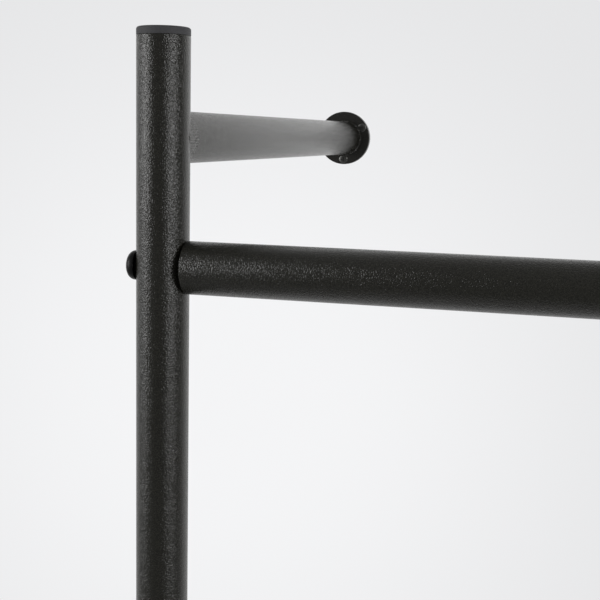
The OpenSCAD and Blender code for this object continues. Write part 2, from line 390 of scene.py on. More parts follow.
@dataclass(frozen=True)
class Enamel(Finish):
    """Glossy black coat that has flowed out, with a faint orange peel."""

    dark: Colour = (0.0075, 0.0073, 0.0068)
    light: Colour = (0.0115, 0.0112, 0.0105)
    peel: float = 2.2 * MM
    relief: float = 0.03 * MM
    rough: float = 0.12

    def paint(self, graph: ShaderGraph) -> None:
        """Builds a smooth coat with slow waves.

        Args:
            graph: The graph of the material.
        """
        wave = graph.noise(self.peel, detail=1.0)
        dust = graph.noise(0.4 * self.peel, detail=3.0, rough=0.7)
        graph.surface(
            {
                "Base Color": graph.blend(wave, self.dark, self.light),
                "Roughness": self.rough + 0.12 * dust,
                "IOR": 1.5,
                "Normal": graph.bump(wave, self.relief, 0.5),
            }
        )


@dataclass(frozen=True)
class Moulded(Finish):
    """Plastic or rubber with the fine grain of its mould."""

    dark: Colour
    light: Colour
    rough: float = 0.45
    grain: float = 0.35 * MM
    relief: float = 0.02 * MM
    strength: float = 0.5
    flow: float = 14.0 * MM

    def paint(self, graph: ShaderGraph) -> None:
        """Builds mould grain, with slow changes of gloss.

        Args:
            graph: The graph of the material.
        """
        pits = graph.noise(self.grain, detail=2.0, rough=0.6)
        flow = graph.noise(self.flow, detail=2.0)
        graph.surface(
            {
                "Base Color": graph.blend(flow, self.dark, self.light),
                "Roughness": self.rough - 0.06 + 0.12 * flow,
                "IOR": 1.48,
                "Normal": graph.bump(pits, self.relief, self.strength),
            }
        )


@dataclass(frozen=True)
class Metal(Finish):
    """Bare or plated metal with drawing marks along one axis."""

    dark: Colour
    light: Colour
    rough: float = 0.3
    along: Place = (1.0, 1.0, 1.0)
    mark: float = 0.25 * MM
    stain: float = 6.0 * MM
    relief: float = 0.01 * MM

    def paint(self, graph: ShaderGraph) -> None:
        """Builds fine marks and a slow tarnish.

        Args:
            graph: The graph of the material.
        """
        marks = graph.noise(self.mark, detail=3.0, rough=0.6, stretch=self.along)
        tarnish = graph.noise(self.stain, detail=3.0, rough=0.6)
        graph.surface(
            {
                "Base Color": graph.blend(tarnish, self.dark, self.light),
                "Metallic": 1.0,
                "Roughness": self.rough - 0.08 + 0.10 * tarnish + 0.08 * marks,
                "Normal": graph.bump(marks, self.relief, 0.4),
            }
        )


@dataclass(frozen=True)
class Laminate(Finish):
    """Circuit board with a woven core under green lacquer."""

    green: Colour = (0.010, 0.075, 0.030)
    pale: Colour = (0.022, 0.120, 0.050)
    weave: float = 0.9 * MM
    relief: float = 0.02 * MM

    def paint(self, graph: ShaderGraph) -> None:
        """Builds the two threads of the weave under the lacquer.

        Args:
            graph: The graph of the material.
        """
        place = graph.add(
            "SeparateXYZ", None, {"Vector": graph.coordinates()}, output="X"
        )
        rise = Field(graph, place.socket.node.outputs["Z"])
        turns = math.tau / self.weave
        warp = graph.math("SINE", place * turns)
        weft = graph.math("SINE", rise * turns)
        cloth = 0.5 + 0.25 * warp + 0.25 * weft
        graph.surface(
            {
                "Base Color": graph.blend(cloth, self.green, self.pale),
                "Roughness": 0.28 + 0.08 * cloth,
                "Coat Weight": 0.4,
                "Normal": graph.bump(cloth, self.relief, 0.4),
            }
        )


@dataclass(frozen=True)
class LensPlastic(Finish):
    """Tinted clear plastic of an indicator lens."""

    tint: Colour = (0.55, 0.05, 0.02)
    pale: Colour = (0.70, 0.09, 0.04)
    wave: float = 0.8 * MM
    relief: float = 0.01 * MM

    def paint(self, graph: ShaderGraph) -> None:
        """Builds a clear body with faint moulding waves.

        Args:
            graph: The graph of the material.
        """
        wave = graph.noise(self.wave, detail=1.0)
        graph.surface(
            {
                "Base Color": graph.blend(wave, self.tint, self.pale),
                "Roughness": 0.10 + 0.06 * wave,
                "Transmission Weight": 0.35,
                "IOR": 1.49,
                "Normal": graph.bump(wave, self.relief, 0.3),
            }
        )


@dataclass(frozen=True)
class Ink(Finish):
    """White marking ink, printed a little unevenly."""

    full: Colour = (0.72, 0.72, 0.70)
    thin: Colour = (0.52, 0.52, 0.51)
    patch: float = 0.5 * MM
    relief: float = 0.01 * MM

    def paint(self, graph: ShaderGraph) -> None:
        """Builds ink that is thinner here and there.

        Args:
            graph: The graph of the material.
        """
        cover = graph.noise(self.patch, detail=3.0, rough=0.7)
        graph.surface(
            {
                "Base Color": graph.blend(cover, self.thin, self.full),
                "Roughness": 0.45 + 0.15 * cover,
                "Normal": graph.bump(cover, self.relief, 0.4),
            }
        )


class Finishes:
    """Every finish on the rack."""

    COAT = PowderCoat("sand_powder_coat")
    WELD = PowderCoat(
        "coated_weld", grain=1.0 * MM, relief=0.35 * MM, gloss=0.22, matt=0.30
    )
    ENAMEL = Enamel(
        "gloss_enamel", (0.0150, 0.0145, 0.0125), (0.0215, 0.0210, 0.0185), rough=0.20
    )
    BLACK_STEEL = Enamel(
        "black_steel", (0.0125, 0.0121, 0.0104), (0.0180, 0.0175, 0.0155), rough=0.02
    )
    CAP = Moulded("cap_plastic", (0.0440, 0.0440, 0.0430), (0.0540, 0.0540, 0.0530), 0.42)
    HOUSING = Moulded(
        "housing_plastic",
        (0.0180, 0.0183, 0.0190),
        (0.0230, 0.0233, 0.0240),
        0.50,
        grain=0.45 * MM,
        relief=0.05 * MM,
    )
    KNOB = Moulded("knob_plastic", (0.0130, 0.0132, 0.0135), (0.0170, 0.0172, 0.0175), 0.34)
    SWITCH = Moulded(
        "switch_plastic", (0.0090, 0.0090, 0.0092), (0.0125, 0.0125, 0.0128), 0.26
    )
    NYLON = Moulded("plug_nylon", (0.0280, 0.0275, 0.0260), (0.0400, 0.0395, 0.0380), 0.55)
    GLAND = Moulded("gland_nylon", (0.0150, 0.0150, 0.0155), (0.0200, 0.0200, 0.0205), 0.42)
    SILICONE = Moulded("silicone", (0.0200, 0.0200, 0.0210), (0.0290, 0.0290, 0.0300), 0.62)
    LOOM = Moulded("loom_sleeve", (0.30, 0.10, 0.05), (0.38, 0.14, 0.08), 0.58)
    CERAMIC = Moulded(
        "ceramic", (0.62, 0.60, 0.55), (0.72, 0.70, 0.66), 0.60, grain=0.8 * MM
    )
    RELAY = Moulded("relay_case", (0.012, 0.035, 0.110), (0.016, 0.045, 0.140), 0.33)
    TERMINAL = Moulded("terminal_green", (0.020, 0.180, 0.070), (0.030, 0.230, 0.095), 0.38)
    STAINLESS = Metal(
        "stainless", (0.48, 0.47, 0.45), (0.60, 0.59, 0.57), 0.32, (0.05, 1.0, 1.0)
    )
    ZINC = Metal("bright_zinc", (0.56, 0.57, 0.58), (0.68, 0.69, 0.70), 0.34)
    BLACK_ZINC = Metal("black_zinc", (0.13, 0.13, 0.125), (0.19, 0.19, 0.18), 0.36)
    BRASS = Metal("brass", (0.55, 0.38, 0.14), (0.68, 0.49, 0.20), 0.30)
    BOARD = Laminate("board_laminate")
    LENS = LensPlastic("indicator_lens")
    INK = Ink("marking_ink")


# ------------------------------------------------------------------- modelling


def arc(
    centre: Point, radii: Point, start: float, end: float, steps: int
) -> list[Point]:
    """Works out points on part of an ellipse.

    Args:
        centre: The ellipse's centre.
        radii: Its half width and half height.
        start: The first angle in degrees, from the first axis.
        end: The last angle in degrees.
        steps: How many stretches the arc has.

    Returns:
        The points from start to end.
    """
    turns = [math.radians(start + (end - start) * i / steps) for i in range(steps + 1)]
    return [
        (centre[0] + radii[0] * math.cos(t), centre[1] + radii[1] * math.sin(t))
        for t in turns
    ]


class Bench:
    """Blender's modelling tools, used the way a hand uses them."""

    merge_gap = 0.004 * MM

    def clear(self) -> None:
        """Leaves edit mode and deselects everything."""
        if bpy.context.object is not None and bpy.context.object.mode != "OBJECT":
            bpy.ops.object.mode_set(mode="OBJECT")
        bpy.ops.object.select_all(action="DESELECT")

    def hold(self, *pieces: bpy.types.Object) -> None:
        """Selects some pieces only, and makes the first one active.

        Args:
            pieces: The pieces to hold.
        """
        self.clear()
        for piece in pieces:
            piece.select_set(True)
        bpy.context.view_layer.objects.active = pieces[0]

    def name(self, name: str) -> bpy.types.Object:
        """Names the piece that was just added.

        Args:
            name: Its name.

        Returns:
            The piece.
        """
        piece = bpy.context.object
        piece.name = name
        piece.data.name = name
        return piece

    def fix(self) -> None:
        """Moves the held piece's place, turn and scale into its mesh."""
        bpy.ops.object.transform_apply(location=True, rotation=True, scale=True)

    def place(
        self, piece: bpy.types.Object, at: Sequence[float], turn: Sequence[float]
    ) -> bpy.types.Object:
        """Turns and moves a piece, and fixes that in its mesh.

        Args:
            piece: The piece, made at the origin.
            at: Where its origin goes.
            turn: Its turn round X, Y and Z in radians.

        Returns:
            The piece.
        """
        self.hold(piece)
        piece.rotation_euler = turn
        piece.location = at
        self.fix()
        return piece

    def push(self, depth: float) -> None:
        """Extrudes the picked faces along Y."""
        bpy.ops.mesh.extrude_region_move(TRANSFORM_OT_translate={"value": (0, depth, 0)})

    def join(self, name: str, pieces: Sequence[bpy.types.Object]) -> bpy.types.Object:
        """Joins pieces into one without changing their shapes.

        Args:
            name: The joined piece's name.
            pieces: The pieces to join.

        Returns:
            The joined piece.
        """
        self.hold(*pieces)
        bpy.ops.object.join()
        return self.name(name)

    def edit(self, piece: bpy.types.Object, mode: str = "VERT") -> None:
        """Opens a piece in edit mode with everything selected.

        Args:
            piece: The piece to open.
            mode: VERT, EDGE or FACE.
        """
        self.hold(piece)
        bpy.ops.object.mode_set(mode="EDIT")
        bpy.ops.mesh.select_mode(type=mode)
        bpy.ops.mesh.select_all(action="SELECT")

    def pick(
        self, piece: bpy.types.Object, kind: str, wanted: Callable[[Any], bool]
    ) -> None:
        """Selects the elements of the open mesh that a test wants.

        Args:
            piece: The piece that is open in edit mode.
            kind: VERT, EDGE or FACE.
            wanted: The test of one element.
        """
        bpy.ops.mesh.select_mode(type=kind)
        bpy.ops.mesh.select_all(action="DESELECT")
        mesh = bmesh.from_edit_mesh(piece.data)
        for element in {"VERT": mesh.verts, "EDGE": mesh.edges, "FACE": mesh.faces}[kind]:
            if wanted(element):
                element.select_set(True)
        mesh.select_flush_mode()
        bmesh.update_edit_mesh(piece.data)

    def close(self, piece: bpy.types.Object) -> bpy.types.Object:
        """Merges doubles, turns the normals out and leaves edit mode.

        Args:
            piece: The piece that is open in edit mode.

        Returns:
            The piece.
        """
        bpy.ops.mesh.select_all(action="SELECT")
        bpy.ops.mesh.remove_doubles(threshold=self.merge_gap)
        bpy.ops.mesh.normals_make_consistent(inside=False)
        bpy.ops.object.mode_set(mode="OBJECT")
        return piece

    def settle(
        self, piece: bpy.types.Object, at: Place = (0.0, 0.0, 0.0), axis: Place = (0, 0, 1)
    ) -> bpy.types.Object:
        """Stands a piece that was made along Z on its axis.

        Args:
            piece: The piece, made round the Z axis.
            at: Where its own origin goes.
            axis: The direction that its Z axis takes.

        Returns:
            The piece.
        """
        turn = Vector((0, 0, 1)).rotation_difference(Vector(axis))
        return self.place(piece, at, turn.to_euler())

    def turned(
        self,
        name: str,
        profile: Sequence[Point],
        at: Place = (0.0, 0.0, 0.0),
        axis: Place = (0, 0, 1),
        steps: int = 96,
    ) -> bpy.types.Object:
        """Spins an outline of (radius, height) points into a closed solid.

        Args:
            name: The piece's name.
            profile: The outline, which starts and ends on the axis or at one point.
            at: Where height 0 on the axis goes.
            axis: The direction of the axis.
            steps: How many faces go round it.

        Returns:
            The piece.
        """
        self.clear()
        bpy.ops.mesh.primitive_plane_add(size=MM, location=(0, 0, 0))
        piece = self.name(name)
        self.edit(piece)
        bpy.ops.mesh.merge(type="CENTER")
        bpy.ops.transform.translate(value=(profile[0][0], 0, profile[0][1]))
        for here, there in zip(profile, profile[1:]):
            step = (there[0] - here[0], 0, there[1] - here[1])
            bpy.ops.mesh.extrude_vertices_move(TRANSFORM_OT_translate={"value": step})
        bpy.ops.mesh.select_all(action="SELECT")
        bpy.ops.mesh.spin(
            steps=steps, angle=math.tau, center=(0, 0, 0), axis=(0, 0, 1)
        )
        self.close(piece)
        return self.settle(piece, at, axis)

    def ring(
        self,
        name: str,
        outer: float,
        inner: float,
        low: float,
        high: float,
        edge: float,
        rings: Iterable[float] = (),
        at: Place = (0.0, 0.0, 0.0),
        axis: Place = (0, 0, 1),
        steps: int = 96,
    ) -> bpy.types.Object:
        """Makes a tube with softened ends.

        Args:
            name: The piece's name.
            outer: The outer radius.
            inner: The inner radius.
            low: The height of the lower end.
            high: The height of the upper end.
            edge: The radius of the four edges at the ends.
            rings: Heights at which the wall gets an extra ring of edges.
            at: Where height 0 goes.
            axis: The direction of the axis.
            steps: How many faces go round it.

        Returns:
            The piece.
        """
        cuts = [h for h in sorted(rings) if low + edge < h < high - edge]
        soft = (edge, edge)
        profile = arc((outer - edge, low + edge), soft, -90, 0, 3)
        profile += [(outer, h) for h in cuts]
        profile += arc((outer - edge, high - edge), soft, 0, 90, 3)
        profile += arc((inner + edge, high - edge), soft, 90, 180, 3)
        profile += [(inner, h) for h in reversed(cuts)]
        profile += arc((inner + edge, low + edge), soft, 180, 270, 3)
        return self.turned(name, [*profile, profile[0]], at, axis, steps)

    def rod(
        self,
        radius: float,
        low: float,
        high: float,
        at: Place,
        axis: Place,
        steps: int = 48,
    ) -> bpy.types.Object:
        """Makes a plain rod to cut with or to join on.

        Args:
            radius: The rod's radius.
            low: The height of its lower end.
            high: The height of its upper end.
            at: Where height 0 goes.
            axis: The direction of the axis.
            steps: How many faces go round it; 6 makes a hexagon.

        Returns:
            The rod.
        """
        self.clear()
        middle = (0, 0, (low + high) / 2)
        bpy.ops.mesh.primitive_cylinder_add(
            vertices=steps, radius=radius, depth=high - low, location=middle
        )
        rod = self.name("rod")
        self.fix()
        return self.settle(rod, at, axis)

    def block(self, name: str, low: Place, high: Place) -> bpy.types.Object:
        """Makes a box between two corners.

        Args:
            name: The piece's name.
            low: The lowest corner.
            high: The highest corner.

        Returns:
            The box.
        """
        self.clear()
        centre = (Vector(low) + Vector(high)) / 2
        bpy.ops.mesh.primitive_cube_add(size=1.0, location=centre)
        box = self.name(name)
        box.scale = Vector(high) - Vector(low)
        self.fix()
        return box

    def apply(self, piece: bpy.types.Object, kind: str, **settings: Any) -> None:
        """Adds a modifier and applies it.

        Args:
            piece: The piece.
            kind: The modifier's type.
            settings: The modifier's settings.
        """
        self.hold(piece)
        modifier = piece.modifiers.new(kind.title(), kind)
        for name, value in settings.items():
            setattr(modifier, name, value)
        bpy.ops.object.modifier_apply(modifier=modifier.name)

    def combine(
        self,
        piece: bpy.types.Object,
        tools: Sequence[bpy.types.Object],
        operation: str = "DIFFERENCE",
    ) -> bpy.types.Object:
        """Cuts tools out of a piece, or joins them to it, and removes the tools.

        Args:
            piece: The piece.
            tools: The tools, which must be clear of one another.
            operation: DIFFERENCE, UNION or INTERSECT.

        Returns:
            The piece.
        """
        self.hold(*tools)
        if len(tools) > 1:
            bpy.ops.object.join()
        tool = bpy.context.object
        self.apply(piece, "BOOLEAN", operation=operation, solver="EXACT", object=tool)
        bpy.data.objects.remove(tool, do_unlink=True)
        self.edit(piece)
        return self.close(piece)

    def soften(
        self, piece: bpy.types.Object, width: float, segments: int = 2, angle: float = 40.0
    ) -> None:
        """Rounds the sharp edges of a piece.

        Args:
            piece: The piece.
            width: How far the rounding reaches from the edge.
            segments: How many faces it has.
            angle: The least angle in degrees between two faces that is rounded.
        """
        self.apply(
            piece,
            "BEVEL",
            width=width,
            segments=segments,
            limit_method="ANGLE",
            angle_limit=math.radians(angle),
            use_clamp_overlap=True,
        )

    def smooth(self, piece: bpy.types.Object, angle: float = 32.0) -> bpy.types.Object:
        """Shades a piece smooth, apart from its sharp edges.

        Args:
            piece: The piece.
            angle: The angle in degrees from which an edge stays sharp.

        Returns:
            The piece.
        """
        self.hold(piece)
        bpy.ops.object.shade_smooth_by_angle(angle=math.radians(angle))
        return piece

    def copy(
        self, piece: bpy.types.Object, name: str, shift: Place
    ) -> bpy.types.Object:
        """Copies a piece with its own mesh, and moves the copy.

        Args:
            piece: The piece to copy.
            name: The copy's name.
            shift: How far it moves.

        Returns:
            The copy.
        """
        self.hold(piece)
        bpy.ops.object.duplicate(linked=False)
        twin = self.name(name)
        twin.location = shift
        self.fix()
        return twin

    def row(
        self, name: str, piece: bpy.types.Object, shifts: Iterable[Place]
    ) -> bpy.types.Object:
        """Copies a piece along a row, and joins the row into one piece.

        Args:
            name: The row's name.
            piece: The first piece.
            shifts: How far each copy stands from it.

        Returns:
            The row.
        """
        return self.join(name, [piece, *(self.copy(piece, "copy", s) for s in shifts)])


BENCH = Bench()


def deliver(
    piece: bpy.types.Object,
    finish: Finish,
    nodes: Sequence[str] = (),
    body: Body = Body.RACK,
) -> bpy.types.Object:
    """Dresses a finished piece, ties it to its body and reports it.

    Args:
        piece: The finished piece.
        finish: Its finish.
        nodes: The CAD nodes it stands for.
        body: The body it rides on.

    Returns:
        The piece.
    """
    BENCH.smooth(piece)
    piece.data.materials.clear()
    piece.data.materials.append(finish.material())
    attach(piece, body.value)
    if nodes:
        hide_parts(*nodes)
    log.info("%s: %d faces, %s", piece.name, len(piece.data.polygons), finish.name)
    return piece


# ---------------------------------------------------------------- the rack


@dataclass(frozen=True)
class Layout:
    """Where the rack's parts are, read from its CAD nodes."""

    post_x: float
    front: float
    tube: float
    post_end: float
    arm_z: float
    rail_end: float
    rails: dict[str, float]

    @classmethod
    def measured(cls) -> "Layout":
        """Reads the layout from the frame.

        Returns:
            The layout.
        """
        low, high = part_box("left_post")
        names = [f"rail_{row}" for row in ROWS]
        rails = {name: sum(c.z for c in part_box(name)) / 2 for name in names}
        arm_low, arm_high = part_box("arm_upper_left")
        return cls(
            post_x=-(low.x + high.x) / 2,
            front=(low.y + high.y) / 2,
            tube=(high.x - low.x) / 2,
            post_end=high.z,
            arm_z=(arm_low.z + arm_high.z) / 2,
            rail_end=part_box("rail_top")[1].x,
            rails=rails,
        )

    def arm(self, side: Side, level: Level, y: float = 0.0) -> Place:
        """Finds a place on an arm's axis.

        Args:
            side: The upright that the arm is on.
            level: The arm's height.
            y: How far back the place is.

        Returns:
            The place.
        """
        return (side.value * self.post_x, y, level.value * self.arm_z)


def label(kind: str, side: Side, level: Level) -> str:
    """Names a part that is at one of the rack's four corners."""
    return f"{kind}_{level.name.lower()}_{side.name.lower()}"


@dataclass
class Post:
    """An upright tube with its bolt holes."""

    layout: Layout
    side: Side
    wall: float = 1.5 * MM
    edge: float = 0.3 * MM
    hole: float = 4.2 * MM
    margin: float = 9.0 * MM
    screw_hole: float = 2.2 * MM
    screw_height: float = 14.0 * MM

    def build(self) -> None:
        """Makes the tube, drills it and dresses it."""
        lay = self.layout
        x = self.side.value * lay.post_x
        heights = [*lay.rails.values()]
        rings = [h + s * self.margin for h in heights for s in (-1, 1)]
        tube = BENCH.ring(
            f"{self.side.name.lower()}_upright",
            lay.tube,
            lay.tube - self.wall,
            -lay.post_end,
            lay.post_end,
            self.edge,
            [*rings, self.margin * 2 - lay.post_end],
            (x, lay.front, 0),
            steps=128,
        )
        reach = 1.5 * lay.tube
        drills = [
            BENCH.rod(self.hole, -reach, reach, (x, lay.front, h), (1, 0, 0))
            for h in heights
        ]
        if self.side is Side.RIGHT:
            at = (x, lay.front, self.screw_height - lay.post_end)
            drills.append(BENCH.rod(self.screw_hole, 0, reach, at, (0, 1, 0)))
        BENCH.combine(tube, drills)
        node = f"{self.side.name.lower()}_post"
        deliver(tube, Finishes.COAT, [node])


@dataclass
class EndCap:
    """A moulded cap that closes an open end of an upright."""

    layout: Layout
    side: Side
    level: Level
    brim: float = 4.0 * MM
    edge: float = 1.2 * MM
    crown: float = 0.25 * MM
    play: float = 0.15 * MM
    plug: float = 14.0 * MM
    plug_wall: float = 1.6 * MM
    fins: tuple[float, ...] = (2.0 * MM, 6.0 * MM, 10.0 * MM)
    fin: float = 1.2 * MM
    tube_wall: float = 1.55 * MM
    recess: float = 0.5 * MM

    def outline(self) -> list[Point]:
        """Works out half of the cap's section, with height 0 at the seam.

        Returns:
            The outline from the top's middle to the plug's inside.
        """
        rim = self.layout.tube
        bore = rim - self.tube_wall
        core = bore - 3.0 * self.play
        top = self.brim - self.crown
        shape = [(0.0, self.brim), (0.5 * rim, self.brim - 0.25 * self.crown)]
        shape += arc((rim - self.edge, top - self.edge), (self.edge,) * 2, 90, 0, 6)
        shape += [(rim, self.play), (rim - self.play, 0.0), (core, 0.0)]
        for depth in self.fins:
            shape += [(core, -depth), (bore, -depth - 0.5 * self.fin)]
            shape += [(core, -depth - self.fin)]
        inside = core - self.plug_wall
        shape += [(core, -self.plug), (inside, -self.plug)]
        return [*shape, (inside, self.recess), (0.0, self.recess)]

    def build(self) -> None:
        """Makes the cap and dresses it."""
        lay = self.layout
        sign = self.level.value
        name = label("cap", self.side, self.level)
        at = (self.side.value * lay.post_x, lay.front, sign * lay.post_end)
        cap = BENCH.turned(f"end_{name}", self.outline(), at, (0, 0, sign), steps=128)
        deliver(cap, Finishes.CAP, [name])


@dataclass
class Rails:
    """The five heated rails between the uprights."""

    layout: Layout
    wall: float = 1.5 * MM
    edge: float = 0.35 * MM

    def build(self) -> None:
        """Makes one rail and copies it to each height."""
        lay = self.layout
        first, *rest = lay.rails.items()
        master = BENCH.ring(
            first[0] + "_tube",
            lay.tube,
            lay.tube - self.wall,
            -lay.rail_end,
            lay.rail_end,
            self.edge,
            at=(0, lay.front, first[1]),
            axis=(1, 0, 0),
            steps=128,
        )
        copies = [
            (BENCH.copy(master, name + "_tube", (0, 0, z - first[1])), name)
            for name, z in rest
        ]
        for tube, node in [(master, first[0]), *copies]:
            deliver(tube, Finishes.COAT, [node])


@dataclass
class Bolts:
    """A row of button head bolts that hold the rails to one upright."""

    layout: Layout
    side: Side
    node: str
    head: float
    shank: float
    socket: float
    bore: float = 0.0
    height: float = 4.4 * MM
    rim: float = 1.0 * MM
    flat: float = 0.52
    length: float = 40.0 * MM
    socket_depth: float = 2.6 * MM
    window: float = 2.3 * MM
    lead: float = 0.6 * MM
    edge: float = 0.3 * MM
    mouth: Point = (0.5 * MM, 0.3 * MM)

    def outline(self) -> list[Point]:
        """Works out half of the bolt's section, with height 0 under the head.

        Returns:
            The outline from the head's middle to the shank's end.
        """
        land = self.flat * self.head
        dome = arc((land, self.rim), (self.head - land, self.height - self.rim), 90, 0, 12)
        shape = [(0.0, self.height), *dome]
        shape += arc((self.head - self.edge, self.edge), (self.edge,) * 2, 0, -90, 3)
        shape += [(self.shank, 0.0), (self.shank, self.lead - self.length)]
        return [*shape, (self.shank - self.lead, -self.length), (0.0, -self.length)]

    def build(self) -> None:
        """Makes one bolt, copies it to each rail and joins the row."""
        lay = self.layout
        sign = self.side.value
        seat = sign * (lay.post_x + lay.tube)
        heights = [*lay.rails.values()]
        at, axis = (seat, lay.front, heights[0]), (sign, 0, 0)
        bolt = BENCH.turned(self.node + "_row", self.outline(), at, axis)
        floor = self.height - self.socket_depth
        corner = self.socket / 2 / math.cos(math.pi / 6)
        wide, narrow = self.mouth
        low, high = self.height - wide, self.height + narrow
        cone = [(0.0, low), (corner - narrow, low), (corner + wide, high), (0.0, high)]
        BENCH.combine(bolt, [BENCH.turned("mouth", cone, at, axis)])
        BENCH.combine(bolt, [BENCH.rod(corner, floor, 2 * self.height, at, axis, 6)])
        if self.bore:
            drill = BENCH.rod(self.bore, -2 * self.length, floor + HAIR, at, axis)
            BENCH.combine(bolt, [drill])
            middle = (sign * lay.post_x, lay.front, heights[0])
            slot = BENCH.rod(self.window, 0, 2 * self.shank, middle, (0, 1, 0))
            BENCH.combine(bolt, [slot])
        shifts = [(0, 0, h - heights[0]) for h in heights[1:]]
        row = BENCH.row(self.node + "_row", bolt, shifts)
        deliver(row, Finishes.BLACK_STEEL, [self.node])


@dataclass
class Weld:
    """Weld beads, coated over with the tubes."""

    layout: Layout
    bead: float = 1.1 * MM
    pitch: int = 3
    ripple: float = 0.28 * MM
    proud: float = 0.15 * MM
    wall: float = 3.0 * MM
    row: float = 1.2 * MM
    start: float = 1.0 * MM
    edge: float = 0.5 * MM
    gap: float = 0.1 * MM
    uneven: float = 0.4
    rings: int = 180
    facets: int = 14

    def roughen(self, piece: bpy.types.Object, seed: int) -> None:
        """Presses ripples and a little unevenness into a bead.

        Args:
            piece: The bead, made round the Z axis.
            seed: The seed of its unevenness.
        """
        BENCH.edit(piece)
        turn = math.tau / self.rings
        BENCH.pick(
            piece,
            "VERT",
            lambda v: round(math.atan2(v.co.y, v.co.x) / turn) % self.pitch == 0,
        )
        bpy.ops.transform.shrink_fatten(value=-self.ripple)
        bpy.ops.mesh.select_all(action="SELECT")
        offset = self.uneven * self.ripple
        bpy.ops.transform.vertex_random(offset=offset, uniform=1.0, seed=seed)
        BENCH.close(piece)

    def saddle(self, side: Side, level: Level, seed: int) -> None:
        """Fills the gap between an arm's flat end and the round back of an upright.

        Args:
            side: The upright.
            level: The arm's height.
            seed: The seed of the bead's unevenness.
        """
        lay = self.layout
        name = label("weld", side, level)
        top = lay.tube + self.row
        rows = [i * self.row for i in range(1, int(top / self.row))]
        radius = lay.tube + self.proud
        bead = BENCH.ring(
            name,
            radius,
            radius - self.wall,
            self.start,
            top,
            self.edge,
            rows,
            steps=self.rings,
        )
        self.roughen(bead, seed)
        at = lay.arm(side, level, lay.front)
        BENCH.settle(bead, at, (0, 1, 0))
        reach = 2 * lay.tube
        BENCH.combine(bead, [BENCH.rod(lay.tube, -reach, reach, at, (0, 0, 1), 192)])
        deliver(bead, Finishes.WELD)

    def collar(self, side: Side, level: Level, back: float, seed: int) -> None:
        """Lays a fine bead where an arm meets its rosette.

        Args:
            side: The upright.
            level: The arm's height.
            back: The Y of the rosette's front face.
            seed: The seed of the bead's unevenness.
        """
        lay = self.layout
        BENCH.clear()
        bpy.ops.mesh.primitive_torus_add(
            major_radius=lay.tube + self.gap,
            minor_radius=self.bead,
            major_segments=self.rings,
            minor_segments=self.facets,
            location=(0, 0, 0),
        )
        bead = BENCH.name(label("collar_weld", side, level))
        self.roughen(bead, seed)
        BENCH.settle(bead, lay.arm(side, level, back), (0, 1, 0))
        deliver(bead, Finishes.WELD)


@dataclass
class Arm:
    """A tube from the back of an upright to its rosette on the wall."""

    layout: Layout
    side: Side
    level: Level
    wall: float = 1.5 * MM
    edge: float = 0.35 * MM
    seed: int = 0

    def build(self) -> None:
        """Makes the arm with its flat end at the upright, and adds its welds."""
        lay = self.layout
        name = label("arm", self.side, self.level)
        wall_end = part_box(name)[1].y
        tube = BENCH.ring(
            name + "_tube",
            lay.tube,
            lay.tube - self.wall,
            lay.front + lay.tube,
            wall_end,
            self.edge,
            at=lay.arm(self.side, self.level),
            axis=(0, 1, 0),
            steps=128,
        )
        deliver(tube, Finishes.COAT, [name])
        weld = Weld(lay)
        weld.saddle(self.side, self.level, self.seed)
        weld.collar(self.side, self.level, wall_end, self.seed + 1)


@dataclass
class Rosette:
    """A round wall plate with three countersunk holes."""

    layout: Layout
    side: Side
    level: Level
    edge: float = 0.6 * MM
    back_edge: float = 0.2 * MM
    hole: float = 1.8 * MM
    sink: float = 3.3 * MM
    circle: float = 16.25 * MM
    first_hole: float = 30.0
    play: float = 0.1 * MM
    dome: float = 0.5 * MM
    cross: Place = (3.2 * MM, 0.8 * MM, 1.2 * MM)

    def build(self) -> None:
        """Makes the plate, countersinks it and dresses it."""
        name = label("rosette", self.side, self.level)
        low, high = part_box(name)
        radius, thick = (high.x - low.x) / 2, high.y - low.y
        x, _, z = middle = self.layout.arm(self.side, self.level)
        front = arc((radius - self.edge, thick - self.edge), (self.edge,) * 2, 90, 0, 5)
        soft = self.back_edge
        back = arc((radius - soft, soft), (soft, soft), 0, -90, 2)
        shape = [(0.0, thick), (0.7 * radius, thick), *front, *back, (0.0, 0.0)]
        plate = BENCH.turned(name + "_plate", shape, middle, (0, -1, 0), steps=160)
        cone = self.sink - self.hole
        tool = [(0.0, -thick), (self.hole, -thick), (self.hole, thick - cone)]
        tool += [(self.sink + soft, thick + soft), (0.0, thick + soft)]
        turns = [math.radians(self.first_hole + 120.0 * i) for i in range(3)]
        places = [
            (x + self.circle * math.cos(t), 0, z + self.circle * math.sin(t)) for t in turns
        ]
        sinks = [BENCH.turned("sink", tool, at, (0, -1, 0), steps=48) for at in places]
        BENCH.combine(plate, sinks)
        deliver(plate, Finishes.ENAMEL, [name])
        self.build_screws(name, thick, places)

    def build_screws(self, name: str, thick: float, places: Sequence[Place]) -> None:
        """Makes one screw as far as the wall, and copies it to each hole.

        Args:
            name: The rosette's node.
            thick: The rosette's thickness.
            places: The holes' places on the wall.
        """
        head = self.sink - self.play
        shank = self.hole - self.play
        dome = arc((0.0, thick - self.play), (head, self.dome), 90, 0, 8)
        neck = thick - self.play - head + shank
        shape = [*dome, (shank, neck), (shank, 0.0), (0.0, 0.0)]
        first = places[0]
        screw = BENCH.turned(name + "_screws", shape, first, (0, -1, 0), steps=48)
        long, wide, deep = self.cross
        for arm in ((long, wide), (wide, long)):
            low = (first[0] - arm[0] / 2, -2 * thick, first[2] - arm[1] / 2)
            high = (first[0] + arm[0] / 2, deep - thick, first[2] + arm[1] / 2)
            BENCH.combine(screw, [BENCH.block("cross", low, high)])
        shifts = [tuple(b - a for a, b in zip(first, at)) for at in places[1:]]
        row = BENCH.row(name + "_screws", screw, shifts)
        deliver(row, Finishes.BLACK_ZINC)


# ------------------------------------------------------------ the control unit


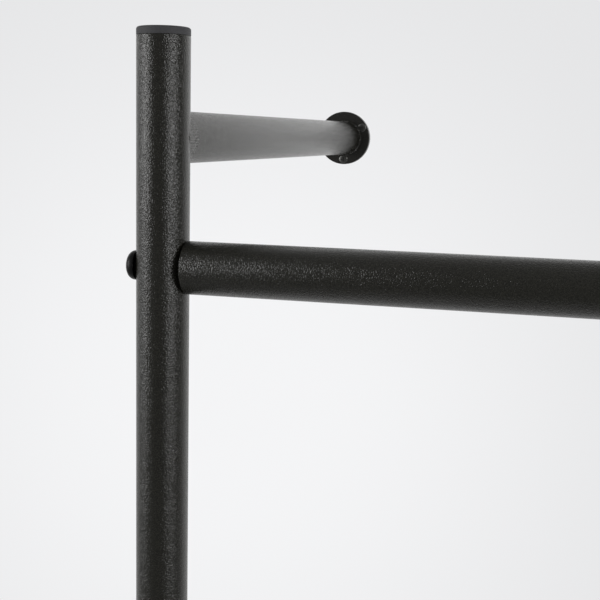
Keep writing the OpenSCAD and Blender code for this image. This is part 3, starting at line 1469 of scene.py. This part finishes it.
def climb(edge: bmesh.types.BMEdge) -> float:
    """Tells how far an edge goes up."""
    return edge.verts[1].co.z - edge.verts[0].co.z


@dataclass
class Housing:
    """The two moulded halves of the control unit."""

    layout: Layout
    corner: float = 12.0 * MM
    wall: float = 2.4 * MM
    lip: float = 1.0 * MM
    boss: float = 3.5 * MM
    screw_x: float = 21.0 * MM
    screw_z: tuple[float, float] = (-9.0 * MM, -83.0 * MM)
    board_screw_x: float = 10.0 * MM
    board_screw_z: tuple[float, float] = (-16.0 * MM, -78.0 * MM)
    board_back: float = 5.6 * MM
    spigot: float = 10.95 * MM
    spigot_wall: float = 2.4 * MM
    knob_z: float = -30.0 * MM
    lens_z: float = -52.0 * MM
    rocker_z: float = -68.0 * MM
    post_screw_z: float = 14.0 * MM
    gland_y: float = 6.0 * MM
    gland_hole: float = 6.2 * MM
    board_boss: float = 2.6 * MM
    chamfer: float = 1.0 * MM
    pilot: float = 1.55 * MM
    pilot_end: float = 12.0 * MM
    post_screw: float = 2.05 * MM
    screw_hole: float = 1.7 * MM
    head_hole: float = 3.0 * MM
    head_depth: float = 5.0 * MM
    knob_hole: float = 3.8 * MM
    lens_hole: float = 1.75 * MM
    opening: Point = (6.7 * MM, 10.2 * MM)
    origin: Vector = field(init=False)

    def __post_init__(self) -> None:
        """Puts the unit's origin under the right upright."""
        lay = self.layout
        self.origin = Vector((lay.post_x, lay.front, -lay.post_end))

    def at(self, x: float = 0.0, y: float = 0.0, z: float = 0.0) -> Place:
        """Turns a place on the unit into a place on the rack.

        Args:
            x: To the right of the upright's axis.
            y: Behind the upright's axis.
            z: Above the upright's lower end.

        Returns:
            The place on the rack.
        """
        return tuple(self.origin + Vector((x, y, z)))

    def drills(
        self, radius: float, front: float, back: float, places: Sequence[Point]
    ) -> list[bpy.types.Object]:
        """Makes rods along Y.

        Args:
            radius: Their radius.
            front: The Y of their front ends.
            back: The Y of their back ends.
            places: The X and Z of each, from the unit's origin.

        Returns:
            The rods.
        """
        spots = [self.at(x, -self.origin.y, z) for x, z in places]
        return [BENCH.rod(radius, front, back, at, (0, 1, 0)) for at in spots]

    def screws(self) -> list[Point]:
        """Lists the places of the cover's screws.

        Returns:
            The X and Z of each, from the unit's origin.
        """
        return [(s * self.screw_x, z) for s in (-1, 1) for z in self.screw_z]

    def shell(self, name: str, split: float, front: bool) -> bpy.types.Object:
        """Makes one half of the rounded case with its wall.

        Args:
            name: The half's name.
            split: The Y of the plane where it ends.
            front: True for the half in front of that plane.

        Returns:
            The half, open at the split.
        """
        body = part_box("control_body")
        low = Vector((body[0].x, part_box("control_cover")[0].y, body[0].z))
        high = Vector((body[1].x, body[1].y, self.origin.z))
        case = BENCH.block(name, low, high)
        BENCH.edit(case, "EDGE")
        BENCH.pick(case, "EDGE", lambda e: abs(climb(e)) > self.wall)
        bpy.ops.mesh.bevel(offset=self.corner, segments=12, affect="EDGES")
        BENCH.pick(case, "EDGE", lambda e: abs(climb(e)) < HAIR)
        bpy.ops.mesh.bevel(offset=self.lip, segments=4, affect="EDGES")
        bpy.ops.mesh.select_all(action="SELECT")
        bpy.ops.mesh.bisect(
            plane_co=(0, split, 0),
            plane_no=(0, 1, 0),
            clear_inner=not front,
            clear_outer=front,
        )
        BENCH.close(case)
        wall = {"thickness": self.wall, "offset": -1.0, "use_even_offset": True}
        BENCH.apply(case, "SOLIDIFY", **wall)
        return case

    def build_body(self) -> None:
        """Makes the rear half with its spigot, bosses and holes."""
        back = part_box("control_body")[1].y
        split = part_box("control_seal")[1].y
        case = self.shell("control_case_rear", split, front=False)
        depth = back - self.wall / 2
        board = self.origin.y + self.board_back
        sides = (-self.board_screw_x, self.board_screw_x)
        board_screws = [(x, z) for z in self.board_screw_z for x in sides]
        bosses = self.drills(self.boss, split, depth, self.screws())
        bosses += self.drills(self.board_boss, board, depth, board_screws)
        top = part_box("control_body")[1].z - self.origin.z
        start, chamfer = -self.wall / 2, self.chamfer
        stem = [(0.0, start), (self.spigot, start), (self.spigot, top - chamfer)]
        stem += [(self.spigot - chamfer, top), (0.0, top)]
        bosses.append(BENCH.turned("stem", stem, self.at()))
        BENCH.combine(case, bosses, "UNION")
        inner = self.spigot - self.spigot_wall
        end = back - self.pilot_end
        holes = self.drills(self.pilot, split - self.wall, end, self.screws())
        holes.append(BENCH.rod(inner, -2 * self.wall, 2 * top, self.at(), (0, 0, 1)))
        gland = self.at(0, self.gland_y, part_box("control_body")[0].z - self.origin.z)
        wall = self.wall
        holes.append(BENCH.rod(self.gland_hole, -wall, 2 * wall, gland, (0, 0, 1)))
        BENCH.combine(case, holes)
        at = self.at(z=self.post_screw_z)
        BENCH.combine(case, [BENCH.rod(self.post_screw, 0, 2 * self.spigot, at, (0, 1, 0))])
        deliver(case, Finishes.HOUSING, ["control_body"])

    def build_cover(self) -> None:
        """Makes the front half with its bosses and openings."""
        front, rear = (corner.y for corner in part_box("control_cover"))
        case = self.shell("control_case_front", rear, front=True)
        ahead, behind = front - 2 * self.wall, front + 2 * self.wall
        screws = self.screws()
        bosses = self.drills(self.boss, front + self.lip, rear, screws)
        BENCH.combine(case, bosses, "UNION")
        holes = self.drills(self.screw_hole, ahead, rear + self.wall, screws)
        BENCH.combine(case, holes)
        sinks = self.drills(self.head_hole, ahead, front + self.head_depth, screws)
        sinks += self.drills(self.knob_hole, ahead, behind, [(0, self.knob_z)])
        sinks += self.drills(self.lens_hole, ahead, behind, [(0, self.lens_z)])
        middle = Vector(self.at(0, -self.origin.y, self.rocker_z))
        half = Vector((self.opening[0], 0, self.opening[1]))
        low = tuple(middle - half + Vector((0, ahead, 0)))
        high = tuple(middle + half + Vector((0, behind, 0)))
        sinks.append(BENCH.block("opening", low, high))
        BENCH.combine(case, sinks)
        deliver(case, Finishes.HOUSING, ["control_cover"])


@dataclass
class Dial:
    """The thermostat's knob, its pointer and the scale printed round it."""

    housing: Housing
    skirt: float = 2.2 * MM
    grip: float = 14.0 * MM
    flutes: int = 16
    flute: float = 1.8 * MM
    flute_circle: float = 15.0 * MM
    shaft: float = 3.0 * MM
    sweep: float = 135.0
    marks: int = 11
    mark_start: float = 18.6 * MM
    mark_half: Point = (0.22 * MM, 0.47 * MM)
    mark_length: Point = (1.4 * MM, 2.4 * MM)
    print_height: float = 0.06 * MM
    proud: float = 0.6 * MM
    crown: Point = (0.5 * MM, 0.35 * MM)
    brow: float = 1.3 * MM
    fillet: float = 0.8 * MM
    rim: float = 0.7 * MM
    rim_wall: float = 1.6 * MM
    rim_floor: float = 1.0 * MM
    shaft_play: float = 0.05 * MM
    roof: float = 2.2 * MM
    edge: float = 0.25 * MM
    pointer_half: float = 0.8 * MM
    pointer_reach: Point = (3.5 * MM, 12.4 * MM)
    pointer_depth: float = 1.1 * MM
    pointer_edge: float = 0.3 * MM
    mark_edge: float = 0.04 * MM

    def outline(self) -> list[Point]:
        """Works out half of the knob's section, with height 0 at its back.

        Returns:
            The outline from the front's middle to the back's.
        """
        low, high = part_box("thermostat_knob")
        radius, height = (high.x - low.x) / 2, high.y - low.y - self.proud
        middle, waist = self.crown
        shape = [(0.0, height - middle), (0.55 * self.grip, height - waist)]
        soft = self.brow
        shape += arc((self.grip - soft, height - soft), (soft, soft), 90, 0, 6)
        soft = self.fillet
        shape += arc((self.grip + soft, self.skirt + soft), (soft, soft), 180, 270, 4)
        soft = self.rim
        shape += arc((radius - soft, self.skirt - soft), (soft, soft), 90, 0, 4)
        inner, bore = radius - self.rim_wall, self.shaft + self.shaft_play
        shape += [(radius, 0.0), (inner, 0.0), (inner, self.rim_floor)]
        shape += [(bore, self.rim_floor), (bore, height - self.roof)]
        return [*shape, (0.0, height - self.roof)]

    def build(self) -> None:
        """Makes the knob, its pointer and the scale."""
        low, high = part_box("thermostat_knob")
        unit = self.housing
        at = (unit.origin.x, high.y, unit.origin.z + unit.knob_z)
        knob = BENCH.turned("dial_knob", self.outline(), at, (0, -1, 0), steps=192)
        start, end = self.skirt + self.fillet, 2 * self.grip
        cutters = []
        for i in range(self.flutes):
            turn = math.tau * (i + 0.5) / self.flutes
            x = at[0] + self.flute_circle * math.cos(turn)
            z = at[2] + self.flute_circle * math.sin(turn)
            cutters.append(BENCH.rod(self.flute, start, end, (x, at[1], z), (0, -1, 0), 24))
        BENCH.combine(knob, cutters)
        BENCH.soften(knob, self.edge, angle=38.0)
        deliver(knob, Finishes.KNOB, ["thermostat_knob"], Body.THERMOSTAT)

        face = low.y + self.pointer_depth
        near, far = self.pointer_reach
        pointer = BENCH.block(
            "dial_pointer",
            (at[0] - self.pointer_half, low.y, at[2] + near),
            (at[0] + self.pointer_half, face, at[2] + far),
        )
        BENCH.soften(pointer, self.pointer_edge, 3)
        deliver(pointer, Finishes.INK, (), Body.THERMOSTAT)
        self.build_scale(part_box("control_cover")[0].y, at)

    def build_scale(self, face: float, at: Place) -> None:
        """Prints the marks of the scale, which grow with the heat.

        Args:
            face: The Y of the cover's front.
            at: The knob's place.
        """
        marks = []
        for i in range(self.marks):
            share = i / (self.marks - 1)
            turn = math.radians(90.0 + self.sweep - 2 * self.sweep * share)
            half, length = (
                least + (most - least) * share
                for least, most in (self.mark_half, self.mark_length)
            )
            bar = BENCH.block(
                "mark",
                (-half, face - self.print_height, self.mark_start),
                (half, face + self.print_height, self.mark_start + length),
            )
            BENCH.soften(bar, self.mark_edge, 1)
            turned = (0.0, math.pi / 2 - turn, 0.0)
            marks.append(BENCH.place(bar, (at[0], 0.0, at[2]), turned))
        deliver(BENCH.join("dial_scale", marks), Finishes.INK)


@dataclass
class RockerSwitch:
    """The rocker, its frame and its two marks."""

    housing: Housing
    half_width: float = 5.2 * MM
    half_length: float = 8.2 * MM
    valley: float = 1.1 * MM
    retreat: float = 0.9 * MM
    key_back: float = 0.6 * MM
    edge: float = 0.45 * MM
    pin: float = 1.0 * MM
    pin_out: float = 0.5 * MM
    pivot: float = -23.0 * MM
    tilt: float = 9.0
    bezel: Point = (8.0 * MM, 11.5 * MM)
    trunk: Point = (6.5 * MM, 10.0 * MM)
    mouth: Point = (5.6 * MM, 9.0 * MM)
    mouth_floor: float = -14.7 * MM
    trunk_back: float = -13.0 * MM
    frame_edge: float = 0.35 * MM
    blade: Point = (2.4 * MM, 0.4 * MM)
    blade_start: float = -13.2 * MM
    blade_z: float = 5.0 * MM
    blade_edge: float = 0.15 * MM
    mark: Point = (0.3 * MM, 1.6 * MM)
    mark_ring: Point = (1.4 * MM, 0.28 * MM)
    mark_flat: float = 0.3
    mark_edge: float = 0.05 * MM
    print_height: float = 0.06 * MM

    def tilted(self, piece: bpy.types.Object) -> bpy.types.Object:
        """Turns a piece made round the pivot to the rocker's place and tilt.

        Args:
            piece: The piece, with the pivot at the origin.

        Returns:
            The piece, in place.
        """
        at = self.housing.at(0, self.pivot, self.housing.rocker_z)
        return BENCH.place(piece, at, (math.radians(self.tilt), 0.0, 0.0))

    def build_frame(self) -> None:
        """Makes the frame from one block by insets and extrusions."""
        unit = self.housing
        low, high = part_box("switch_frame")
        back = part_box("control_cover")[0].y
        x, y, z = unit.at(0, 0, unit.rocker_z)
        frame_piece = BENCH.block(
            "switch_surround",
            (x - self.bezel[0], low.y, z - self.bezel[1]),
            (x + self.bezel[0], back, z + self.bezel[1]),
        )
        BENCH.edit(frame_piece, "FACE")
        BENCH.pick(frame_piece, "FACE", lambda f: f.normal.y < -0.9)
        bpy.ops.mesh.inset(thickness=self.bezel[0] - self.mouth[0], depth=0.0)
        BENCH.push(y + self.mouth_floor - low.y)
        BENCH.pick(
            frame_piece,
            "FACE",
            lambda f: f.normal.y > 0.9 and abs(f.calc_center_median().y - back) < HAIR,
        )
        bpy.ops.mesh.inset(thickness=self.bezel[0] - self.trunk[0], depth=0.0)
        BENCH.push(y + self.trunk_back - back)
        BENCH.close(frame_piece)
        BENCH.soften(frame_piece, self.frame_edge, 3)
        wide, thin = self.blade
        start = y + self.blade_start
        blades = [
            BENCH.block("blade", (x - wide, start, h - thin), (x + wide, high.y, h + thin))
            for h in (z - self.blade_z, z + self.blade_z)
        ]
        for blade in blades:
            BENCH.soften(blade, self.blade_edge, 1)
        BENCH.combine(frame_piece, blades, "UNION")
        deliver(frame_piece, Finishes.SWITCH, ["switch_frame"])

    def build_rocker(self) -> None:
        """Makes the rocker with its shallow valley and its trunnions."""
        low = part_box("power_rocker")[0]
        pivot = self.housing.origin.y + self.pivot
        front = (low.y - pivot) + self.retreat
        rocker = BENCH.block(
            "rocker_key",
            (-self.half_width, front, -self.half_length),
            (self.half_width, self.key_back, self.half_length),
        )
        BENCH.edit(rocker, "FACE")
        bpy.ops.mesh.bisect(plane_co=(0, 0, 0), plane_no=(0, 0, 1))
        BENCH.pick(
            rocker, "VERT", lambda v: v.co.y < front + HAIR and abs(v.co.z) < HAIR
        )
        bpy.ops.transform.translate(value=(0, self.valley, 0))
        BENCH.close(rocker)
        BENCH.soften(rocker, self.edge, 3, 12.0)
        reach = self.half_width + self.pin_out
        pins = BENCH.rod(self.pin, -reach, reach, (0, 0, 0), (1, 0, 0), 24)
        BENCH.combine(rocker, [pins], "UNION")
        self.tilted(rocker)
        deliver(rocker, Finishes.SWITCH, ["power_rocker"], Body.ROCKER)
        self.build_marks(front)

    def build_marks(self, front: float) -> None:
        """Prints a bar on the upper half of the rocker and a ring on the lower.

        Args:
            front: The Y of the rocker's two outer edges, from the pivot.
        """
        slope = math.atan2(self.valley, self.half_length)
        half = 0.5 * self.half_length
        face = front + 0.5 * self.valley
        corner = Vector((self.mark[0], self.print_height, self.mark[1]))
        bar = BENCH.block("bar", tuple(-corner), tuple(corner))
        BENCH.clear()
        major, minor = self.mark_ring
        bpy.ops.mesh.primitive_torus_add(
            major_radius=major, minor_radius=minor, major_segments=40, minor_segments=8
        )
        circle = BENCH.name("circle")
        circle.scale = (1.0, 1.0, self.mark_flat)
        BENCH.place(circle, (0.0, 0.0, 0.0), (math.pi / 2, 0.0, 0.0))
        for piece, sign in ((bar, 1), (circle, -1)):
            BENCH.place(piece, (0.0, face, sign * half), (sign * slope, 0.0, 0.0))
        BENCH.soften(bar, self.mark_edge, 1)
        marks = self.tilted(BENCH.join("rocker_marks", (bar, circle)))
        deliver(marks, Finishes.INK, (), Body.ROCKER)


@dataclass
class Lens:
    """The indicator lens, with a low dome on a short stem."""

    housing: Housing
    stem: float = 1.7 * MM
    lead: float = 0.3 * MM

    def build(self) -> None:
        """Makes the lens and dresses it."""
        low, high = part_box("indicator_lens")
        radius = (high.x - low.x) / 2
        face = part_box("control_cover")[0].y
        rise = face - low.y
        shape = arc((0.0, 0.0), (radius, rise), 90, 0, 10)
        shape[0] = (0.0, rise)
        end = face - high.y
        shape += [(self.stem, 0.0), (self.stem, end + self.lead)]
        shape += [(self.stem - self.lead, end), (0.0, end)]
        at = (self.housing.origin.x, face, self.housing.origin.z + self.housing.lens_z)
        lens = BENCH.turned("lens_dome", shape, at, (0, -1, 0), steps=64)
        deliver(lens, Finishes.LENS, ["indicator_lens"])


@dataclass
class Gland:
    """The cable gland's body and its cap nut."""

    housing: Housing
    across_flats: float = 17.0 * MM
    bore: float = 7.0 * MM
    thread: float = 6.0 * MM
    thread_pitch: float = 1.5 * MM
    thread_depth: float = 0.5 * MM
    thread_steps: Sequence[float] = (0.4 * MM, 0.75 * MM, 0.9 * MM, 1.25 * MM)
    thread_lead: float = 0.2 * MM
    chamfer: float = 0.55 * MM
    collar: float = -5.0 * MM
    claw: float = 6.5 * MM
    overlap: float = 0.5 * MM
    through: float = 3.55 * MM
    nut_skirt: float = -14.0 * MM
    nose: float = 5.5 * MM
    nose_round: float = 2.5 * MM
    shoulder: Point = (8.0 * MM, 0.4 * MM)
    nut_bore: float = 6.65 * MM
    nut_floor: float = -15.5 * MM
    throat: float = -10.0 * MM
    nut_edge: float = 0.2 * MM

    def hexagon(self, name: str, low: float, high: float, at: Place) -> bpy.types.Object:
        """Makes a hexagon whose corners are chamfered at both ends.

        Args:
            name: The piece's name.
            low: The height of its lower end.
            high: The height of its upper end.
            at: Where height 0 goes.

        Returns:
            The hexagon.
        """
        corner = self.across_flats / 2 / math.cos(math.pi / 6)
        flat = self.across_flats / 2
        nut = BENCH.rod(corner, low, high, at, (0, 0, 1), 6)
        nut.name = name
        shape = [(0.0, low), (flat, low), (corner, low + self.chamfer)]
        shape += [(corner, high - self.chamfer), (flat, high), (0.0, high)]
        return BENCH.combine(nut, [BENCH.turned("chamfer", shape, at)], "INTERSECT")

    def build(self) -> None:
        """Makes the gland's two visible parts."""
        unit = self.housing
        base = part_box("control_body")[0].z
        at = (unit.origin.x, unit.origin.y + unit.gland_y, base)
        low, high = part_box("cable_gland")
        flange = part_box("gland_cap_nut")[1].z
        body = self.hexagon("gland_body", self.collar, 0.0, at)
        top = high.z - base
        crest, root = self.thread, self.thread - self.thread_depth
        outline = [(0.0, -self.overlap), (crest, -self.overlap)]
        turns = int(top / self.thread_pitch)
        for i in range(turns):
            start = i * self.thread_pitch
            radii = (crest, root, root, crest)
            outline += [(w, start + h) for w, h in zip(radii, self.thread_steps)]
        outline += [(crest, top - self.thread_lead), (root, top), (0.0, top)]
        BENCH.combine(body, [BENCH.turned("thread", outline, at, steps=48)], "UNION")
        claw = low.z - base
        end = self.collar + self.overlap
        neck = [(0.0, claw), (self.claw, claw), (self.claw, end), (0.0, end)]
        BENCH.combine(body, [BENCH.turned("neck", neck, at, steps=64)], "UNION")
        past = 2 * self.overlap
        bore = BENCH.rod(self.through, claw - past, top + past, at, (0, 0, 1))
        BENCH.combine(body, [bore])
        deliver(body, Finishes.GLAND, ["cable_gland"])

        nut_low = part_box("gland_cap_nut")[0].z - base
        nut = self.hexagon("gland_nut", self.nut_skirt, flange - base, at)
        soft = self.nose_round
        nose = [(0.0, nut_low)]
        nose += arc((self.nose, nut_low + soft), (soft, soft), -90, 0, 8)
        wide, inside = self.shoulder
        nose += [(wide, self.nut_skirt + inside), (0.0, self.nut_skirt + inside)]
        BENCH.combine(nut, [BENCH.turned("nose", nose, at, steps=96)], "UNION")
        up = (0, 0, 1)
        BENCH.combine(nut, [BENCH.rod(self.nut_bore, self.nut_floor, 0.0, at, up, 64)])
        throat = BENCH.rod(self.bore / 2, 2 * nut_low, self.throat, at, up, 64)
        BENCH.combine(nut, [throat])
        BENCH.soften(nut, self.nut_edge, 2, 50.0)
        deliver(nut, Finishes.GLAND, ["gland_cap_nut"])


class CadDress:
    """Finishes for the CAD nodes whose shape stays as it is."""

    finishes: dict[str, Finish] = {
        "left_rail_plugs": Finishes.NYLON,
        "right_rail_plugs": Finishes.NYLON,
        **dict.fromkeys(ELEMENTS, Finishes.STAINLESS),
        "element_bushes": Finishes.CERAMIC,
        "wiring_loom": Finishes.LOOM,
        "control_seal": Finishes.SILICONE,
        "control_screws": Finishes.ZINC,
        "control_post_screw": Finishes.BLACK_STEEL,
        "circuit_board": Finishes.BOARD,
        "board_screws": Finishes.ZINC,
        "power_relay": Finishes.RELAY,
        "terminal_block": Finishes.TERMINAL,
        "thermal_cutout": Finishes.STAINLESS,
        "thermostat_pot": Finishes.ZINC,
        "thermostat_shaft": Finishes.BRASS,
        "gland_lock_nut": Finishes.GLAND,
        "gland_seal": Finishes.SILICONE,
    }

    def dress(self, nodes: dict[str, bpy.types.Object]) -> None:
        """Gives each shown CAD node its finish.

        Args:
            nodes: The CAD nodes by name.
        """
        for name, node in nodes.items():
            finish = self.finishes.get(name, Finishes.COAT)
            node.data.materials.clear()
            node.data.materials.append(finish.material())
            if not node.hide_render:
                log.info("%s: CAD shape, %s", name, finish.name)


# ---------------------------------------------------------------------- studio


@dataclass
class Studio:
    """The floor, the light and the camera."""

    eye: Place = (-48.844 * MM, -863.940 * MM, 503.651 * MM)
    yaw: float = 15.1842
    pitch: float = -8.4127
    roll: float = 1.2102
    lens: float = 68.025
    floor_radius: float = 3.0
    floor_glow: float = 0.20
    floor_drop: float = 2.0 * MM
    floor_grain: float = 4.0 * MM
    brightest: Place = (-0.31, 0.92, -0.23)
    fade: Point = (0.7, 1.5)
    front_dark: float = 0.20
    panel_light: float = 6.8
    panel_left: Place = (-63.0, 12.0, 4.0)
    panel_right: Place = (60.0, 10.0, 3.0)
    panel_foot: Point = (-0.31, 0.12)
    panel_head: Point = (0.26, 0.55)
    back_light: float = 0.88
    back_left: Point = (-112.0, -86.0)
    back_right: Point = (100.0, 146.0)
    back_foot: Point = (-0.40, 0.0)
    back_head: Point = (0.40, 0.85)
    overhead: Point = (0.35, 0.95)
    paper: Point = (0.06, 0.45)

    def camera(self) -> None:
        """Sets up the camera at the viewing angle."""
        data = bpy.data.cameras.new("view")
        data.lens = self.lens
        data.clip_start = 0.01
        camera = bpy.data.objects.new("view", data)
        bpy.context.scene.collection.objects.link(camera)
        turn = (
            Matrix.Rotation(math.radians(self.yaw), 4, "Z")
            @ Matrix.Rotation(math.radians(90.0 + self.pitch), 4, "X")
            @ Matrix.Rotation(math.radians(self.roll), 4, "Z")
        )
        camera.matrix_world = Matrix.Translation(self.eye) @ turn
        bpy.context.scene.camera = camera

    def panel(
        self, graph: ShaderGraph, azimuth: Field, middle: float, half: float, soft: float
    ) -> Field:
        """Shapes one tall soft light by its bearing.

        Args:
            graph: The world's graph.
            azimuth: The bearing of the direction in degrees, from the front.
            middle: The bearing of the light's middle.
            half: Half of its width in degrees.
            soft: How far its edges fade in degrees.

        Returns:
            1 on the light and 0 away from it.
        """
        away = graph.math("ABSOLUTE", azimuth - middle)
        return graph.span(away, half - soft, half + soft, 1.0, 0.0)

    def world(self) -> None:
        """Lights the rack with two tall soft lights in front and a bright room behind."""
        world = bpy.data.worlds.new("studio")
        world.use_nodes = True
        bpy.context.scene.world = world
        graph = ShaderGraph(world.node_tree)
        direction = graph.add("TexCoord", output="Generated")
        split = graph.add("SeparateXYZ", None, {"Vector": direction}, output="X")
        outputs = split.socket.node.outputs
        x, y, z = split, Field(graph, outputs["Y"]), Field(graph, outputs["Z"])
        azimuth = graph.math("ARCTAN2", x, 0.0 - y) * math.degrees(1.0)
        left = self.panel(graph, azimuth, *self.panel_left)
        right = self.panel(graph, azimuth, *self.panel_right)
        foot = graph.span(z, *self.panel_foot, 0.03, 1.05)
        tall = foot - graph.span(z, *self.panel_head, 0.0, 1.05)
        behind_left = graph.span(azimuth, *self.back_left, 0.78, 0.0)
        behind_right = graph.span(azimuth, *self.back_right, 0.0, 1.0)
        overhead = graph.span(z, *self.overhead, 0.0, 0.10)
        foot = graph.span(z, *self.back_foot, 0.7, 1.0)
        low = foot - graph.span(z, *self.back_head, 0.0, 0.80)
        light = (
            self.front_dark
            + self.panel_light * (left + right) * tall
            + self.back_light * (behind_left + behind_right) * low
            + overhead
        )
        white = (1.0, 1.0, 1.0)
        studio = graph.add("Background", None, {"Color": white, "Strength": light})
        ends = {0: direction, 1: self.brightest}
        away = graph.add("VectorMath", {"operation": "DISTANCE"}, ends, "Value")
        glow = graph.span(away, *self.paper, 0.92, 0.80)
        tint = (0.985, 0.988, 1.0)
        paper = graph.add("Background", None, {"Color": tint, "Strength": glow})
        seen = graph.add("LightPath", output="Is Camera Ray")
        mixed = graph.add("MixShader", None, {0: seen, 1: studio, 2: paper})
        graph.add("OutputWorld", None, {"Surface": mixed})

    def floor(self) -> None:
        """Lays a pale floor under the rack that fades out far from it."""
        BENCH.clear()
        at = (0, 0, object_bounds()[0].z - self.floor_drop)
        bpy.ops.mesh.primitive_circle_add(
            vertices=96, radius=self.floor_radius, fill_type="TRIFAN", location=at
        )
        disc = BENCH.name("floor")
        BENCH.fix()
        material = bpy.data.materials.new("pale_floor")
        material.use_nodes = True
        graph = ShaderGraph(material.node_tree)
        place = graph.coordinates()
        reach = graph.add("VectorMath", {"operation": "LENGTH"}, {0: place}, output="Value")
        speck = graph.noise(self.floor_grain, detail=2.0)
        graph.surface(
            {
                "Base Color": graph.blend(speck, (0.88, 0.88, 0.89), (0.92, 0.92, 0.93)),
                "Emission Color": (1.0, 1.0, 1.0),
                "Emission Strength": self.floor_glow,
                "Roughness": 0.75 + 0.1 * speck,
                "Alpha": graph.span(reach, *self.fade, 1.0, 0.0),
            }
        )
        disc.data.materials.append(material)
        disc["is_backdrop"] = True

    def build(self) -> None:
        """Sets up the camera, the light and the floor."""
        bpy.context.scene.view_settings.view_transform = "Standard"
        self.camera()
        self.world()
        self.floor()


def main() -> None:
    """Builds every piece in order, then the studio."""
    logging.basicConfig(level=logging.INFO, format="%(name)s: %(message)s")
    layout = Layout.measured()
    Post(layout, Side.LEFT).build()
    Post(layout, Side.RIGHT, hole=5.2 * MM).build()
    for side, level in (
        (Side.LEFT, Level.UPPER),
        (Side.RIGHT, Level.UPPER),
        (Side.LEFT, Level.LOWER),
    ):
        EndCap(layout, side, level).build()
    Rails(layout).build()
    Bolts(layout, Side.LEFT, "left_rail_bolts", 7 * MM, 4 * MM, 5 * MM).build()
    Bolts(
        layout, Side.RIGHT, "hollow_rail_bolts", 8 * MM, 5 * MM, 6 * MM, bore=3 * MM
    ).build()
    seed = 11
    for side in Side:
        for level in Level:
            Arm(layout, side, level, seed=seed).build()
            Rosette(layout, side, level).build()
            seed += 2
    housing = Housing(layout)
    housing.build_body()
    housing.build_cover()
    Dial(housing).build()
    switch = RockerSwitch(housing)
    switch.build_frame()
    switch.build_rocker()
    Lens(housing).build()
    Gland(housing).build()
    CadDress().dress(frame["nodes"])
    Studio().build()


if __name__ == "__main__":
    main()
